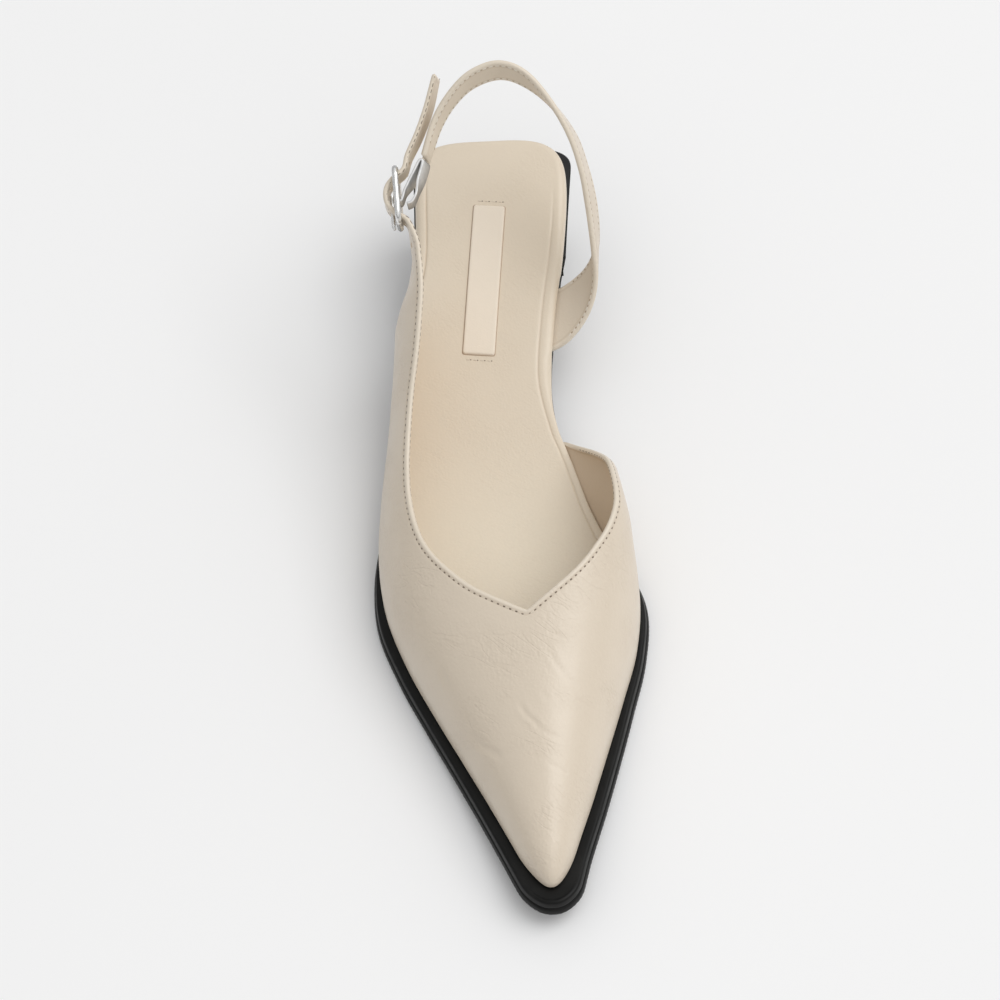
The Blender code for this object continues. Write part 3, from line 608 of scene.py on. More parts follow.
# Its forepart is painted lighter, standing in for light that reaches it
SOCK_LEATHER = LeatherFinish(
    name="sock_leather", colour=(0.73, 0.632, 0.50), mottle_and_shade=(0.61, 0.50, 0.38),
    lip=(0.83, 0.745, 0.60), roughness=0.44, coat=0.18, grain_scale=1300.0, grain_depth=0.034,
    shrink=0.25, fore_painted_light=1.0,
)
STRAP_LINING = LeatherFinish(
    name="strap_lining", colour=(0.75, 0.66, 0.54), mottle_and_shade=(0.58, 0.48, 0.36), lip=(0.80, 0.73, 0.62),
    roughness=0.52, coat=0.05, grain_scale=1700.0, grain_depth=0.020, shrink=0.3,
)
PATCH_LEATHER = LeatherFinish(
    name="patch_cream", colour=(0.84, 0.745, 0.62), mottle_and_shade=(0.75, 0.64, 0.51), lip=(0.85, 0.77, 0.65),
    roughness=0.55, coat=0.05, grain_scale=1900.0, grain_depth=0.014, shrink=0.2,
)
SOLE_BLACK = MouldedFinish(
    name="sole_black", colour=(0.006, 0.006, 0.0055), worn=(0.03, 0.03, 0.029), roughness=0.40,
    specular=0.17, stretch=(1, 1, 1), depth=0.012,
)
HEEL_BLACK = MouldedFinish(
    name="heel_black", colour=(0.007, 0.007, 0.007), worn=(0.03, 0.03, 0.03), roughness=0.34,
    specular=0.3, stretch=(1, 1, 0.06), depth=0.016,
)
SILVER = MetalFinish("silver_polished", (0.90, 0.90, 0.89), 0.2)
SATIN_SILVER = MetalFinish("silver_satin", (0.72, 0.72, 0.715), 0.34, 0.6)
OAT_THREAD = ThreadFinish("oat_thread", (0.62, 0.53, 0.42), (0.72, 0.635, 0.52), 0.6)
PALE_THREAD = ThreadFinish("pale_thread", (0.76, 0.70, 0.61), (0.85, 0.80, 0.72), 0.6)
# Painted shade of the needle holes, full and faint
PAINTED_HOLE_SHADE = ThreadFinish("painted_hole_shade", (0.17, 0.13, 0.095), (0.22, 0.17, 0.125), 0.9)
FAINT_HOLE_SHADE = ThreadFinish("faint_painted_hole_shade", (0.42, 0.33, 0.24), (0.48, 0.38, 0.28), 0.9)
# Painted shade round the seat patch's low edge
PATCH_OUTLINE_SHADE = ThreadFinish("patch_outline_shade", (0.52, 0.38, 0.27), (0.57, 0.43, 0.31), 0.8)


Finish = LeatherFinish | MouldedFinish | MetalFinish | ThreadFinish


class Wardrobe:
    """Materials of all finishes, each made once."""

    def __init__(self) -> None:
        """Start with the shared effects and no material."""
        self.effects = SharedEffects()
        self.made: dict[str, bpy.types.Material] = {}

    def all(self, *finishes: Finish) -> list[bpy.types.Material]:
        """The materials of several finishes."""
        return [self.of(finish) for finish in finishes]

    def of(self, finish: Finish) -> bpy.types.Material:
        """The material of a finish."""
        if finish.name not in self.made:
            self.made[finish.name] = finish.material(self.effects)
        return self.made[finish.name]


def add_piece(
    name: str,
    points: np.ndarray,
    faces: Faces,
    materials: Sequence[bpy.types.Material],
    kinds: np.ndarray | None = None,
    edge_mm: np.ndarray | None = None,
) -> bpy.types.Object:
    """Make a piece from points in metres.

    Args:
        name: Name of the piece.
        points: Points in the frame's axes.
        faces: Faces by point number, facing outwards.
        materials: Materials of the piece.
        kinds: Material number of each face.
        edge_mm: Distance from a turned edge at each point.

    Returns:
        The new object, linked to the scene.
    """
    mesh = bpy.data.meshes.new(name)
    mesh.from_pydata(points.tolist(), [], faces)
    for material in materials:
        mesh.materials.append(material)
    if kinds is not None:
        mesh.polygons.foreach_set("material_index", np.asarray(kinds, np.int32))
    if edge_mm is None:
        edge_mm = np.full(len(points), FAR_FROM_EDGE)
    distance = mesh.attributes.new("edge_mm", "FLOAT", "POINT")
    distance.data.foreach_set("value", edge_mm)
    mesh.validate()
    mesh.shade_smooth()
    obj = bpy.data.objects.new(name, mesh)
    bpy.context.scene.collection.objects.link(obj)
    return obj


def face_outwards(obj: bpy.types.Object) -> None:
    """Turn a closed piece's faces outwards."""
    shape = bmesh.new()
    shape.from_mesh(obj.data)
    bmesh.ops.recalc_face_normals(shape, faces=shape.faces)
    shape.to_mesh(obj.data)
    shape.free()


def soften(obj: bpy.types.Object, width: float, segments: int, angle: float) -> None:
    """Round a piece's sharp edges with a Bevel modifier, applied.

    Args:
        obj: The piece.
        width: Width of the rounding in millimetres.
        segments: Steps of the rounding.
        angle: Least angle of a rounded edge in degrees.
    """
    bevel = obj.modifiers.new("rounded_edges", "BEVEL")
    bevel.width = width * MM
    bevel.segments = segments
    bevel.limit_method = "ANGLE"
    bevel.angle_limit = math.radians(angle)
    bevel.harden_normals = False
    apply_modifiers(obj)
    obj.data.set_sharp_from_angle(angle=math.radians(50))


def apply_modifiers(obj: bpy.types.Object) -> None:
    """Replace a piece's mesh by its evaluated one."""
    bpy.context.view_layer.update()
    final = bpy.data.meshes.new_from_object(obj.evaluated_get(bpy.context.evaluated_depsgraph_get()))
    obj.modifiers.clear()
    old = obj.data
    obj.data = final
    bpy.data.meshes.remove(old)


def ring_faces(levels: int, count: int, first: int = 0) -> Faces:
    """Side faces between stacked outlines of equal count."""
    faces = []
    for level in range(levels - 1):
        base = first + level * count
        for i in range(count):
            nxt = (i + 1) % count
            faces.append((base + i, base + nxt, base + count + nxt, base + count + i))
    return faces


def rung_faces(base: int, count: int) -> Faces:
    """A cap as a ladder of rungs across an outline."""
    faces = []
    for i in range(count // 2 - 1):
        other = count - 1 - i
        faces.append((base + i, base + i + 1, base + other - 1, base + other))
    return faces


def stacked_faces(levels: int, count: int) -> Faces:
    """Faces of a closed solid of stacked outlines, with a ladder of rungs over each end."""
    return ring_faces(levels, count) + rung_faces(0, count) + rung_faces((levels - 1) * count, count)


def grid_faces(numbers: np.ndarray, flipped: bool = False) -> Faces:
    """Faces between the points of a grid, by point number.

    Args:
        numbers: Point numbers by row and column.
        flipped: Whether the faces turn the other way.

    Returns:
        A face for each cell, row by row.
    """
    rows = numbers.tolist()
    faces = []
    for first, second in zip(rows, rows[1:]):
        for j in range(len(first) - 1):
            face = (first[j], second[j], second[j + 1], first[j + 1])
            faces.append((face[0], face[3], face[2], face[1]) if flipped else face)
    return faces


def edge_distance(points: np.ndarray, lines: Sequence[np.ndarray], spacing: float) -> np.ndarray:
    """Distance of points from a set of lines.

    Args:
        points: Points in metres.
        lines: Lines in metres.
        spacing: How finely the lines are read, in millimetres.

    Returns:
        Distances in millimetres.
    """
    samples = []
    for line in lines:
        total = line_lengths(line)[-1]
        samples.append(evened(line, max(2, int(total / (spacing * MM)))))
    spots = np.concatenate(samples)
    tree = kdtree.KDTree(len(spots))
    for i, spot in enumerate(spots):
        tree.insert(spot, i)
    tree.balance()
    return np.array([tree.find(point)[2] for point in points]) / MM


def vertex_normals(points: np.ndarray, faces: Faces) -> np.ndarray:
    """Normals of an open sheet at its points."""
    mesh = bpy.data.meshes.new("sheet")
    mesh.from_pydata(points.tolist(), [], faces)
    normals = np.empty(len(points) * 3, np.float32)
    mesh.vertex_normals.foreach_get("vector", normals)
    bpy.data.meshes.remove(mesh)
    return normals.reshape(-1, 3).astype(float)


@dataclass
class LeatherSheet:
    """A cut sheet of leather before it is given thickness."""

    points: np.ndarray
    faces: Faces
    rim: np.ndarray
    edges: list[np.ndarray]

    def __post_init__(self) -> None:
        """Work out the normals and the distance of each point from the cut edge."""
        self.normals = vertex_normals(self.points, self.faces)
        self.to_edge = edge_distance(self.points, self.edges, 0.03)
        self.to_edge[self.rim] = 0.0

    @classmethod
    def cut(cls, points: np.ndarray, faces: Faces, borders: Sequence[np.ndarray]) -> "LeatherSheet":
        """A sheet whose cut edges run through the given point numbers."""
        rim = np.zeros(len(points), bool)
        rim[np.concatenate(borders)] = True
        return cls(points, faces, rim, [points[border] for border in borders])

    def thickened(self, wall: float, outer: float, relief: np.ndarray) -> Shell:
        """Give the sheet its thickness, with half-round edges.

        Args:
            wall: Thickness in millimetres.
            outer: How far the outer face lies from the sheet, in millimetres.
            relief: Height of the outer face's folds and grooves at each point, in millimetres.

        Returns:
            Points, faces and a flag for each face that lies inside.
        """
        round_off = wall / 2
        short = round_off - np.minimum(self.to_edge, round_off)
        dip = round_off - np.sqrt(round_off**2 - short**2)
        free = np.flatnonzero(~self.rim)
        out = self.points + self.normals * ((outer - dip + relief * ~self.rim) * MM)[:, None]
        back = self.points + self.normals * ((outer - wall + dip) * MM)[:, None]
        count = len(self.points)
        inner_number = np.arange(count)
        inner_number[free] = count + np.arange(len(free))
        inside = [tuple(int(inner_number[i]) for i in reversed(face)) for face in self.faces]
        flags = np.concatenate([np.zeros(len(self.faces), np.int32), np.ones(len(inside), np.int32)])
        rolled = np.array([self.to_edge[list(face)].max() < round_off for face in self.faces])
        flags[len(self.faces) :][rolled] = 0
        return np.concatenate([out, back[free]]), self.faces + inside, flags

    def both(self, values: np.ndarray) -> np.ndarray:
        """Values of the sheet's points repeated for the points inside."""
        return np.concatenate([values, values[~self.rim]])


def bead(length: float, width: float, height: float) -> Mesh:
    """A small rounded bead, long in its first axis.

    Args:
        length: Size along the seam in millimetres.
        width: Size across the seam in millimetres.
        height: Size out of the leather in millimetres.

    Returns:
        Points in millimetres and faces.
    """
    rings, around = 5, 8
    points = [(-length / 2, 0.0, 0.0)]
    for turn in np.linspace(0, math.pi, rings + 2)[1:-1]:
        girth = math.sin(turn) ** 0.5
        for angle in np.arange(around) * 2 * math.pi / around:
            across, out = girth * math.cos(angle) * width, girth * math.sin(angle) * height
            points.append((-math.cos(turn) * length / 2, across / 2, out / 2))
    points.append((length / 2, 0.0, 0.0))
    last = len(points) - 1
    faces: Faces = [(0, 1 + (k + 1) % around, 1 + k) for k in range(around)]
    for ring in range(rings - 1):
        base = 1 + ring * around
        for k in range(around):
            nxt = (k + 1) % around
            faces.append((base + k, base + nxt, base + around + nxt, base + around + k))
    base = 1 + (rings - 1) * around
    faces += [(base + k, base + (k + 1) % around, last) for k in range(around)]
    return np.array(points), faces


@dataclass(frozen=True)
class Seam:
    """A row of machine stitches: thread between needle holes, each hole a bead of painted shade."""

    pitch: float = 2.1
    thread: Triple = (1.4, 0.5, 0.32)
    hole: Triple = (0.8, 0.56, 0.16)
    sunk: float = 0.06

    def spots(self, line: np.ndarray, normals: np.ndarray) -> tuple[np.ndarray, ...]:
        """Middles of the stitches with their axes along, across and out of the leather."""
        total = line_lengths(line)[-1] / MM
        count = max(2, int(total / self.pitch))
        at = (np.arange(count) + 0.5) * total / count * MM
        known = line_lengths(line)
        middle = line_at(line, at)
        reach = 0.4 * MM
        along = line_at(line, np.minimum(at + reach, known[-1])) - line_at(line, np.maximum(at - reach, 0))
        along = unit(along)
        out = np.column_stack([np.interp(at, known, normals[:, k]) for k in range(3)])
        out -= along * np.sum(out * along, axis=1)[:, None]
        out = unit(out)
        return middle, along, np.cross(out, along), out

    def sewn(self, lines: Sequence[tuple[np.ndarray, np.ndarray]]) -> Shell:
        """Stitches along several lines as one mesh.

        Args:
            lines: Points and normals of each line, in metres.

        Returns:
            Points, faces and the material number of each face, 0 for thread and 1 for the painted shade of a
            needle hole.
        """
        points, faces, kinds = [], [], []
        total = 0
        for line, normals in lines:
            middle, along, across, out = self.spots(line, normals)
            shift = along * (self.pitch / 2 * MM)
            # The beads at the holes are painted shade: they stand for the shade inside each needle hole
            threads, holes = middle - out * self.sunk * MM, middle + shift
            for kind, size, spots in ((0, self.thread, threads), (1, self.hole, holes)):
                shape, shape_faces = bead(*size)
                for k in range(len(spots)):
                    axes = np.stack([along[k], across[k], out[k]])
                    points.append(spots[k] + shape @ axes * MM)
                    faces += [tuple(i + total for i in face) for face in shape_faces]
                    kinds += [kind] * len(shape_faces)
                    total += len(shape)
        return np.concatenate(points), faces, np.array(kinds)


@dataclass(frozen=True)
class Last:
    """The form that the shoe is built on."""

    rows: tuple[LastRow, ...] = (
        LastRow(0, -26.2, 25.4, 36.8, 0.0, 86.0, 0, 0, 0.45, 0, 0.60),
        LastRow(24, -26.8, 24.8, 32.6, -0.5, 84.0, 0, 6, 0.45, 4, 0.60),
        LastRow(45, -28.4, 21.8, 27.5, -1.0, 80.0, 0, 12, 0.45, 8, 0.60),
        LastRow(67, -33.0, 17.2, 21.3, -1.5, 74.0, 2, 17, 0.45, 14, 0.65),
        LastRow(90, -36.6, 14.3, 14.3, -2.0, 66.0, 4, 16, 0.45, 22, 0.75),
        LastRow(110, -40.2, 16.8, 9.6, -1.5, 60.0, 6, 13, 0.48, 27, 0.85),
        LastRow(130, -43.9, 22.5, 6.9, -0.5, 53.5, 8, 11, 0.52, 33, 1.20),
        LastRow(150, -45.8, 30.5, 6.0, 0.2, 48.8, 8, 9, 0.58, 23, 1.20),
        LastRow(168, -44.4, 35.6, 6.0, 0.6, 44.9, 7, 7, 0.68, 9, 0.82),
        LastRow(187, -38.6, 33.6, 6.0, 0.7, 39.6, 6, 5, 0.72, 5, 0.70),
        LastRow(205, -30.9, 27.8, 6.5, 1.0, 34.6, 5, 4, 0.66, 4, 0.64),
        LastRow(222, -23.1, 21.9, 7.5, 1.2, 30.2, 4, 3, 0.62, 3, 0.60),
        LastRow(240, -15.0, 15.6, 9.0, 1.3, 25.8, 3, 2, 0.58, 2, 0.57),
        LastRow(256, -8.2, 9.7, 10.6, 1.4, 22.0, 2, 1, 0.56, 1, 0.56),
        LastRow(268, -3.4, 6.0, 11.9, 1.4, 19.4, 0, 0, 0.54, 0, 0.54),
        LastRow(274, -1.2, 3.6, 12.5, 1.4, 18.1, 0, 0, 0.54, 0, 0.54),
    )
    toe_tip: float = 268.0
    toe_rounding: float = 13.0
    toe_power: float = 2.3
    sole_toe: float = 274.0
    seat_turn: float = 0.05
    seat_turn_fades: float = 40.0
    toe_turn: float = 0.05
    toe_turn_fades: float = 12.0
    section_rise: float = 0.54
    foot_gap: float = 0.4

    def floor(self, stations: np.ndarray | float) -> np.ndarray:
        """Height of the surface that the insole and the upper stand on."""
        return smooth(self.rows, "floor", stations)

    def outline(self, stations: np.ndarray) -> tuple[np.ndarray, np.ndarray]:
        """Lateral and medial edge of the last's bottom."""
        return smooth(self.rows, "lateral", stations), smooth(self.rows, "medial", stations)

    def turned(self, ring: np.ndarray) -> np.ndarray:
        """The outline with its seat end turned outwards and its toe end turned inwards."""
        across, stations = ring[:, 0], ring[:, 1]
        at_seat = self.seat_turn * (1 - fade(stations, 0, self.seat_turn_fades))
        at_toe = self.toe_turn * fade(stations, self.sole_toe - self.toe_turn_fades, self.sole_toe)
        return np.column_stack([across, stations + across * (at_seat + at_toe)])

    def closed(
        self, stations: np.ndarray, lateral: np.ndarray, medial: np.ndarray, keep: np.ndarray
    ) -> np.ndarray:
        """A closed outline from two edges, each kept to a share of its distance from their middle."""
        middle = (lateral + medial) / 2
        ring = ring_of(stations, middle + (lateral - middle) * keep, middle + (medial - middle) * keep)
        return evened_ring(self.turned(ring))

    def section(self, station: float, side: Side, shares: np.ndarray) -> np.ndarray:
        """Points of one half section.

        Args:
            station: Where the section is.
            side: Which half.
            shares: Share of the way from the sole's edge to the crown.

        Returns:
            Shoe points.
        """
        row = {name: float(smooth(self.rows, name, station)) for name in LastRow._fields[1:]}
        middle = (row["lateral"] + row["medial"]) / 2
        keep = float(rounded_end(self.toe_tip - station, self.toe_rounding, self.toe_power))
        rise = (row["crown"] - row["floor"]) * keep
        crown = np.array([middle + (row["crown_across"] - middle) * keep, row["floor"] + rise])
        foot = np.array([middle + (row[side.value] - middle) * keep, row["floor"] + self.foot_gap])
        lean = math.radians(row[side.value + "_lean"])
        tilt = math.radians(row["tilt"])
        up = self.section_rise * (crown[1] - foot[1])
        flat = row[side.value + "_full"] * abs(foot[0] - crown[0])
        first = foot + up * np.array([side.outward * math.tan(lean), 1.0])
        second = crown + flat * np.array([side.outward, side.outward * math.tan(tilt)])
        t = np.asarray(shares, float)[:, None]
        low = foot * (1 - t) ** 3 + 3 * first * t * (1 - t) ** 2
        curve = low + 3 * second * t**2 * (1 - t) + crown * t**3
        return np.column_stack([curve[:, 0], np.full(len(t), station), curve[:, 1]])

    def wall(self, station: float, heights: float) -> float:
        """How far out the lateral wall lies at one station and height."""
        curve = self.section(station, Side.LATERAL, np.linspace(0, 1, 240))
        return float(np.interp(heights, curve[:, 2], curve[:, 0]))


@dataclass
class Buckle:
    """Silver frame with a centre bar, its prong and the hook plate of the heel strap."""

    centre: Triple = (-30.5, 43.5, 66.4)
    pitch: float = 21.8
    length: float = 20.6
    width: float = 14.6
    corner: float = 3.6
    wire: float = 1.0
    centre_wire: float = 0.9
    prong_wire: float = 0.7
    prong_taper: float = 0.25
    prong_tip: float = 0.6
    wire_sides: int = 14
    hook_width: float = 6.4
    hook_thickness: float = 0.8
    hook_lean: float = 0.9
    arch: tuple[Pair, ...] = ((1.0, -2.2), (0.74, 0.9), (0.4, 3.65), (0.0, 4.5))
    hook: tuple[Pair, ...] = (
        (2.9, -3.0), (2.3, -4.6), (0.4, -5.9), (-3.6, -7.4), (-7.8, -9.0), (-10.9, -10.0),
        (-11.6, -9.4), (-10.6, -8.4), (-7.6, -6.7), (-4.4, -4.7), (-1.6, -2.6), (0.4, -1.8),
        (1.6, -1.2), (1.9, -0.2),
    )

    def point(self, along: float, out: float, up: float = 0.0) -> np.ndarray:
        """A point in the buckle's axes: along the strap towards the toe, out from the foot, up across it."""
        pitch = math.radians(self.pitch)
        station = self.centre[1] + along * math.cos(pitch) + up * math.sin(pitch)
        height = self.centre[2] - along * math.sin(pitch) + up * math.cos(pitch)
        return np.array([self.centre[0] - out, station, height])

    @property
    def reach(self) -> float:
        """Distance from the centre bar to the middle of an end bar."""
        return self.length / 2 - self.wire

    @property
    def prong_out(self) -> float:
        """How far out of the frame's plane the prong lies on the centre bar."""
        return self.centre_wire + SEAM_GAP + self.prong_wire

    def arch_line(self) -> list[Pair]:
        """The strap's way from under one end bar over the centre bar to the other, along and out."""
        back = [(-self.reach * share, out) for share, out in self.arch]
        return back + [(self.reach * share, out) for share, out in self.arch[-2::-1]]

    def tube(self, line: np.ndarray, radii: np.ndarray, closed: bool) -> Mesh:
        """A round wire along shoe points.

        Args:
            line: Shoe points.
            radii: Radius at each point.
            closed: Whether the wire runs back into its start.

        Returns:
            Shoe points and faces.
        """
        around = self.wire_sides
        ahead = np.roll(line, -1, axis=0) - np.roll(line, 1, axis=0)
        if not closed:
            ahead = np.gradient(line, axis=0)
        ahead = unit(ahead)
        side = np.cross(ahead, self.point(0, 0, 1) - self.point(0, 0, 0))
        weak = np.linalg.norm(side, axis=1) < 0.3
        side[weak] = np.cross(ahead[weak], (1.0, 0.0, 0.0))
        side = unit(side)
        other = np.cross(ahead, side)
        angles = np.arange(around) * 2 * math.pi / around
        cosines, sines = np.cos(angles)[None, :, None], np.sin(angles)[None, :, None]
        offsets = side[:, None] * cosines + other[:, None] * sines
        points = (line[:, None] + offsets * np.asarray(radii, float)[:, None, None]).reshape(-1, 3)
        faces = ring_faces(len(line), around)
        if closed:
            start = (len(line) - 1) * around
            faces += [(start + i, start + (i + 1) % around, (i + 1) % around, i) for i in range(around)]
        else:
            faces += [tuple(range(around)), tuple(range((len(line) - 1) * around, len(line) * around))]
        return points, faces

    def frame_line(self) -> np.ndarray:
        """Middle line of the frame's wire, with rounded corners."""
        half_length = self.reach
        half_width = self.width / 2 - self.wire
        ring = []
        for quarter, (sign_along, sign_up) in enumerate(((1, 1), (-1, 1), (-1, -1), (1, -1))):
            for turn in np.linspace(0, math.pi / 2, 12):
                angle = turn + quarter * math.pi / 2
                along = sign_along * (half_length - self.corner) + self.corner * math.cos(angle)
                up = sign_up * (half_width - self.corner) + self.corner * math.sin(angle)
                ring.append(self.point(along, 0, up))
        return np.array(ring)

    def build(self, wardrobe: Wardrobe) -> list[bpy.types.Object]:
        """Make and dress the buckle's pieces."""
        silver = wardrobe.of(SILVER)
        line = self.frame_line()
        points, faces = self.tube(line, np.full(len(line), self.wire), True)
        ring = add_piece("buckle_ring", placed(points), faces, [silver])
        half_width = self.width / 2 - self.wire
        bar_line = np.array([self.point(0, 0, up) for up in np.linspace(-half_width, half_width, 9)])
        points, faces = self.tube(bar_line, np.full(len(bar_line), self.centre_wire), False)
        bar = add_piece("centre_bar", placed(points), faces, [silver])
        for obj in (ring, bar):
            face_outwards(obj)
        joined = ring.modifiers.new("centre_bar", "BOOLEAN")
        joined.operation = "UNION"
        joined.object = bar
        apply_modifiers(ring)
        ring.data.shade_smooth()
        ring.data.set_sharp_from_angle(angle=math.radians(55))
        bpy.data.objects.remove(bar)
        tongue = self.build_tongue(silver)
        plate = self.build_hook_plate(wardrobe.of(SATIN_SILVER))
        for piece, node in ((ring, "buckle_frame"), (tongue, "buckle_prong"), (plate, "buckle_hook")):
            finish_piece(piece, node)
        return [ring, tongue, plate]

    def build_tongue(self, silver: bpy.types.Material) -> bpy.types.Object:
        """The prong: on the centre bar, out through the strap's arch and over the front bar."""
        front = self.reach
        on_front = self.wire + SEAM_GAP + self.prong_wire
        path = [
            (-0.9, self.prong_out),
            (front / 2, self.prong_out),
            (front, on_front),
            (front + 1.4, on_front - SEAM_GAP),
        ]
        line = through_rows([self.point(along, out) for along, out in path], 6)
        share = np.linspace(0, 1, len(line))
        radii = self.prong_wire * (1 - self.prong_taper * fade(share, 0.5, 1.0))
        radii[-1] *= self.prong_tip
        points, faces = self.tube(line, radii, False)
        tongue = add_piece("buckle_tongue", placed(points), faces, [silver])
        face_outwards(tongue)
        tongue.data.set_sharp_from_angle(angle=math.radians(60))
        return tongue

    def build_hook_plate(self, silver: bpy.types.Material) -> bpy.types.Object:
        """Hook plate: a strip folded at the heel strap's end, which catches the centre bar from inside."""
        line = through_rows(np.array(self.hook), 6)
        along = np.gradient(line, axis=0)
        along = unit(along)
        normal = np.column_stack([-along[:, 1], along[:, 0]])
        points = []
        for middle, across in zip(line, normal):
            for up, face in ((1, 1), (1, -1), (-1, -1), (-1, 1)):
                spot = middle + across * face * self.hook_thickness / 2
                out = spot[1] + up * self.hook_lean * float(fade(-middle[0], 0, 6))
                points.append(self.point(spot[0], out, up * self.hook_width / 2))
        count = len(line)
        faces = ring_faces(count, 4) + [(0, 1, 2, 3), tuple(range((count - 1) * 4, count * 4))]
        plate = add_piece("buckle_hook_plate", placed(np.array(points)), faces, [silver])
        face_outwards(plate)
        soften(plate, 0.25, 3, 40)
        return plate


def finish_piece(piece: bpy.types.Object, node: str | None = None) -> None:
    """Tie a piece to the shoe's body, and hide the solid that it stands for when one is given."""
    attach(piece, "root")
    if node:
        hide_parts(node)
    LOG.info("%s: %d faces", piece.name, len(piece.data.polygons))


@dataclass(frozen=True)
class Crease:
    """A soft fold in the vamp, along (across, station) points."""

    path: tuple[Pair, ...]
    depth: float
    width: float
    ridge_share: float = 0.45
    ridge_off: float = 2.1

    def relief(self, plan: np.ndarray) -> np.ndarray:
        """Height of the trough and of the ridges beside it, over plan points."""
        line = through_rows(np.array(self.path), 12)
        gaps = np.linalg.norm(plan[:, None] - line[None], axis=2)
        near = gaps.argmin(axis=1)
        off = gaps[np.arange(len(plan)), near]
        share = near / (len(line) - 1)
        ends = fade(share, 0, 0.25) * (1 - fade(share, 0.75, 1))
        trough = -self.depth * hump(off, 0, self.width)
        ridge = self.ridge_share * self.depth * hump(off, self.ridge_off * self.width, self.width)
        return (trough + ridge) * ends


@dataclass
class Upper:
    """Vamp, outer quarter and buckle strap, cut as one leather sheet."""

    last: Last
    buckle: Buckle
    wall: float = 1.6
    throat: float = 187.3
    strap_width: float = 9.0
    strap_from: float = 60.0
    row_pitch: float = 0.85
    sub_rows: int = 7
    close_rows: int = 14
    close_pitch: float = 0.35
    toe_density: float = 1.3
    fine: int = 301
    middle_columns: int = 30
    seam_inset: float = 1.8
    lip_inset: float = 0.2
    lip_depth: float = 0.8
    lip_turn: Pair = (0.83, 0.55)
    lip_seam: Seam = Seam(thread=(0.7, 0.3, 0.14), hole=(1.4, 0.3, 0.12))
    groove_depth: float = 0.14
    groove_width: float = 0.34
    lip_swell: float = 0.07
    crease_clear: Pair = (2.5, 7.0)
    root_station: Pair = (65.0, 6.0)
    root_height: Pair = (52.0, 9.0)
    root_wrinkle: float = 0.08
    root_pitch: float = 2.2
    uneven: float = 0.09
    hole_places: tuple[float, ...] = (-14.5, -4.4, 19.0)
    prong_hole: float = 4.4
    hole_radius: float = 1.0
    hole_sides: int = 20
    punch_depth: float = 7.0
    punch_rows: int = 16
    throat_rounding: float = 0.006
    edge_steps: tuple[float, ...] = (
        0, 0.05, 0.18, 0.4, 0.8, 1.15, 1.45, 1.65, 1.8, 1.95, 2.15, 2.45, 2.8, 3.2, 3.7,
    )
    lateral_topline: tuple[Topline, ...] = (
        Topline(95, 0.500), Topline(103, 0.478), Topline(121, 0.466), Topline(139, 0.491),
        Topline(159, 0.595), Topline(170, 0.710), Topline(177, 0.800), Topline(183, 0.914),
        Topline(187.3, 1.0),
    )
    medial_topline: tuple[Topline, ...] = (
        Topline(107.6, 0.02), Topline(112, 0.080, 0.9), Topline(118, 0.170, 2.4),
        Topline(124, 0.265, 3.2), Topline(130, 0.360, 2.7), Topline(137, 0.450, 1.2),
        Topline(144, 0.507, 0.3), Topline(153, 0.560), Topline(165, 0.640), Topline(176, 0.775),
        Topline(183, 0.912), Topline(187.3, 1.0),
    )
    tail: tuple[StrapRow, ...] = (
        StrapRow(-15.2, 9.6, 86.5, 33, 6, 8.6, 0.6),
        StrapRow(-16.0, 11.6, 85.1, 33, 8, 9.0, 0.4),
        StrapRow(-18.8, 18.2, 80.2, 31, 11, 9.0),
        StrapRow(-22.6, 25.0, 75.6, 27, 8, 9.0),
        StrapRow(-26.6, 30.9, 71.9, 23, 3, 9.0),
    )
    tail_run: Triple = (0.35, -0.77, 0.53)
    quarter: tuple[Fan, ...] = (
        Fan(55.2, 55.2, -27.8, 59.6, 64.4, -25.7), Fan(59.6, 47.6, -27.9, 64.0, 62.0, -25.3),
        Fan(64.6, 38.0, -30.0, 68.5, 60.0, -25.1), Fan(68.6, 29.4, -33.2, 73.0, 58.4, -25.1),
        Fan(71.8, None, None, 77.5, 56.4, None), Fan(77.2, None, None, 81.5, 54.6, None),
        Fan(83.0, None, None, 85.7, 52.8, None), Fan(89.0, None, None, 90.2, 50.8, None),
    )
    creases: tuple[Crease, ...] = (
        Crease(((6.3, 195.3), (9.9, 196.1), (13.9, 197.3)), 0.22, 0.61),
        Crease(((4.1, 197.2), (7.1, 201.8), (9.1, 205.8), (12.2, 208.9)), 0.22, 0.61),
        Crease(((9.5, 208.4), (12.2, 209.4), (14.6, 211.1)), 0.20, 0.60),
        Crease(((-4.0, 214.5), (-2.4, 218.3), (0.4, 221.5), (3.1, 225.4)), 0.27, 0.61),
        Crease(((1.6, 223.4), (5.0, 225.8), (9.0, 227.0)), 0.17, 0.60),
        Crease(((-21.0, 218.2), (-15.1, 225.2), (-9.5, 230.2)), 0.22, 0.82),
        Crease(((-11.0, 229.0), (-7.0, 229.2), (-3.5, 228.2)), 0.11, 0.68),
        Crease(((-21.5, 190.5), (-13.9, 194.1), (-11.4, 198.0)), 0.14, 0.82),
        Crease(((-27.3, 196.5), (-26.6, 200.2), (-25.5, 203.7)), 0.17, 0.60),
        Crease(((-33.0, 177.7), (-32.7, 181.5), (-32.2, 185.4)), 0.14, 0.60),
        Crease(((2.8, 212.3), (3.9, 213.8), (5.0, 215.1)), 0.14, 0.60),
        Crease(((2.7, 234.1), (6.6, 235.7), (9.7, 237.9)), 0.17, 0.60),
    )

    def strap_rows(self) -> list[StrapRow]:
        """The buckle strap's rows from its tip to the buckle's front bar."""
        rows = list(self.tail)
        for along, out in self.buckle.arch_line():
            rows.append(StrapRow(*self.buckle.point(along, out), self.buckle.pitch, 0, self.strap_width))
        return rows

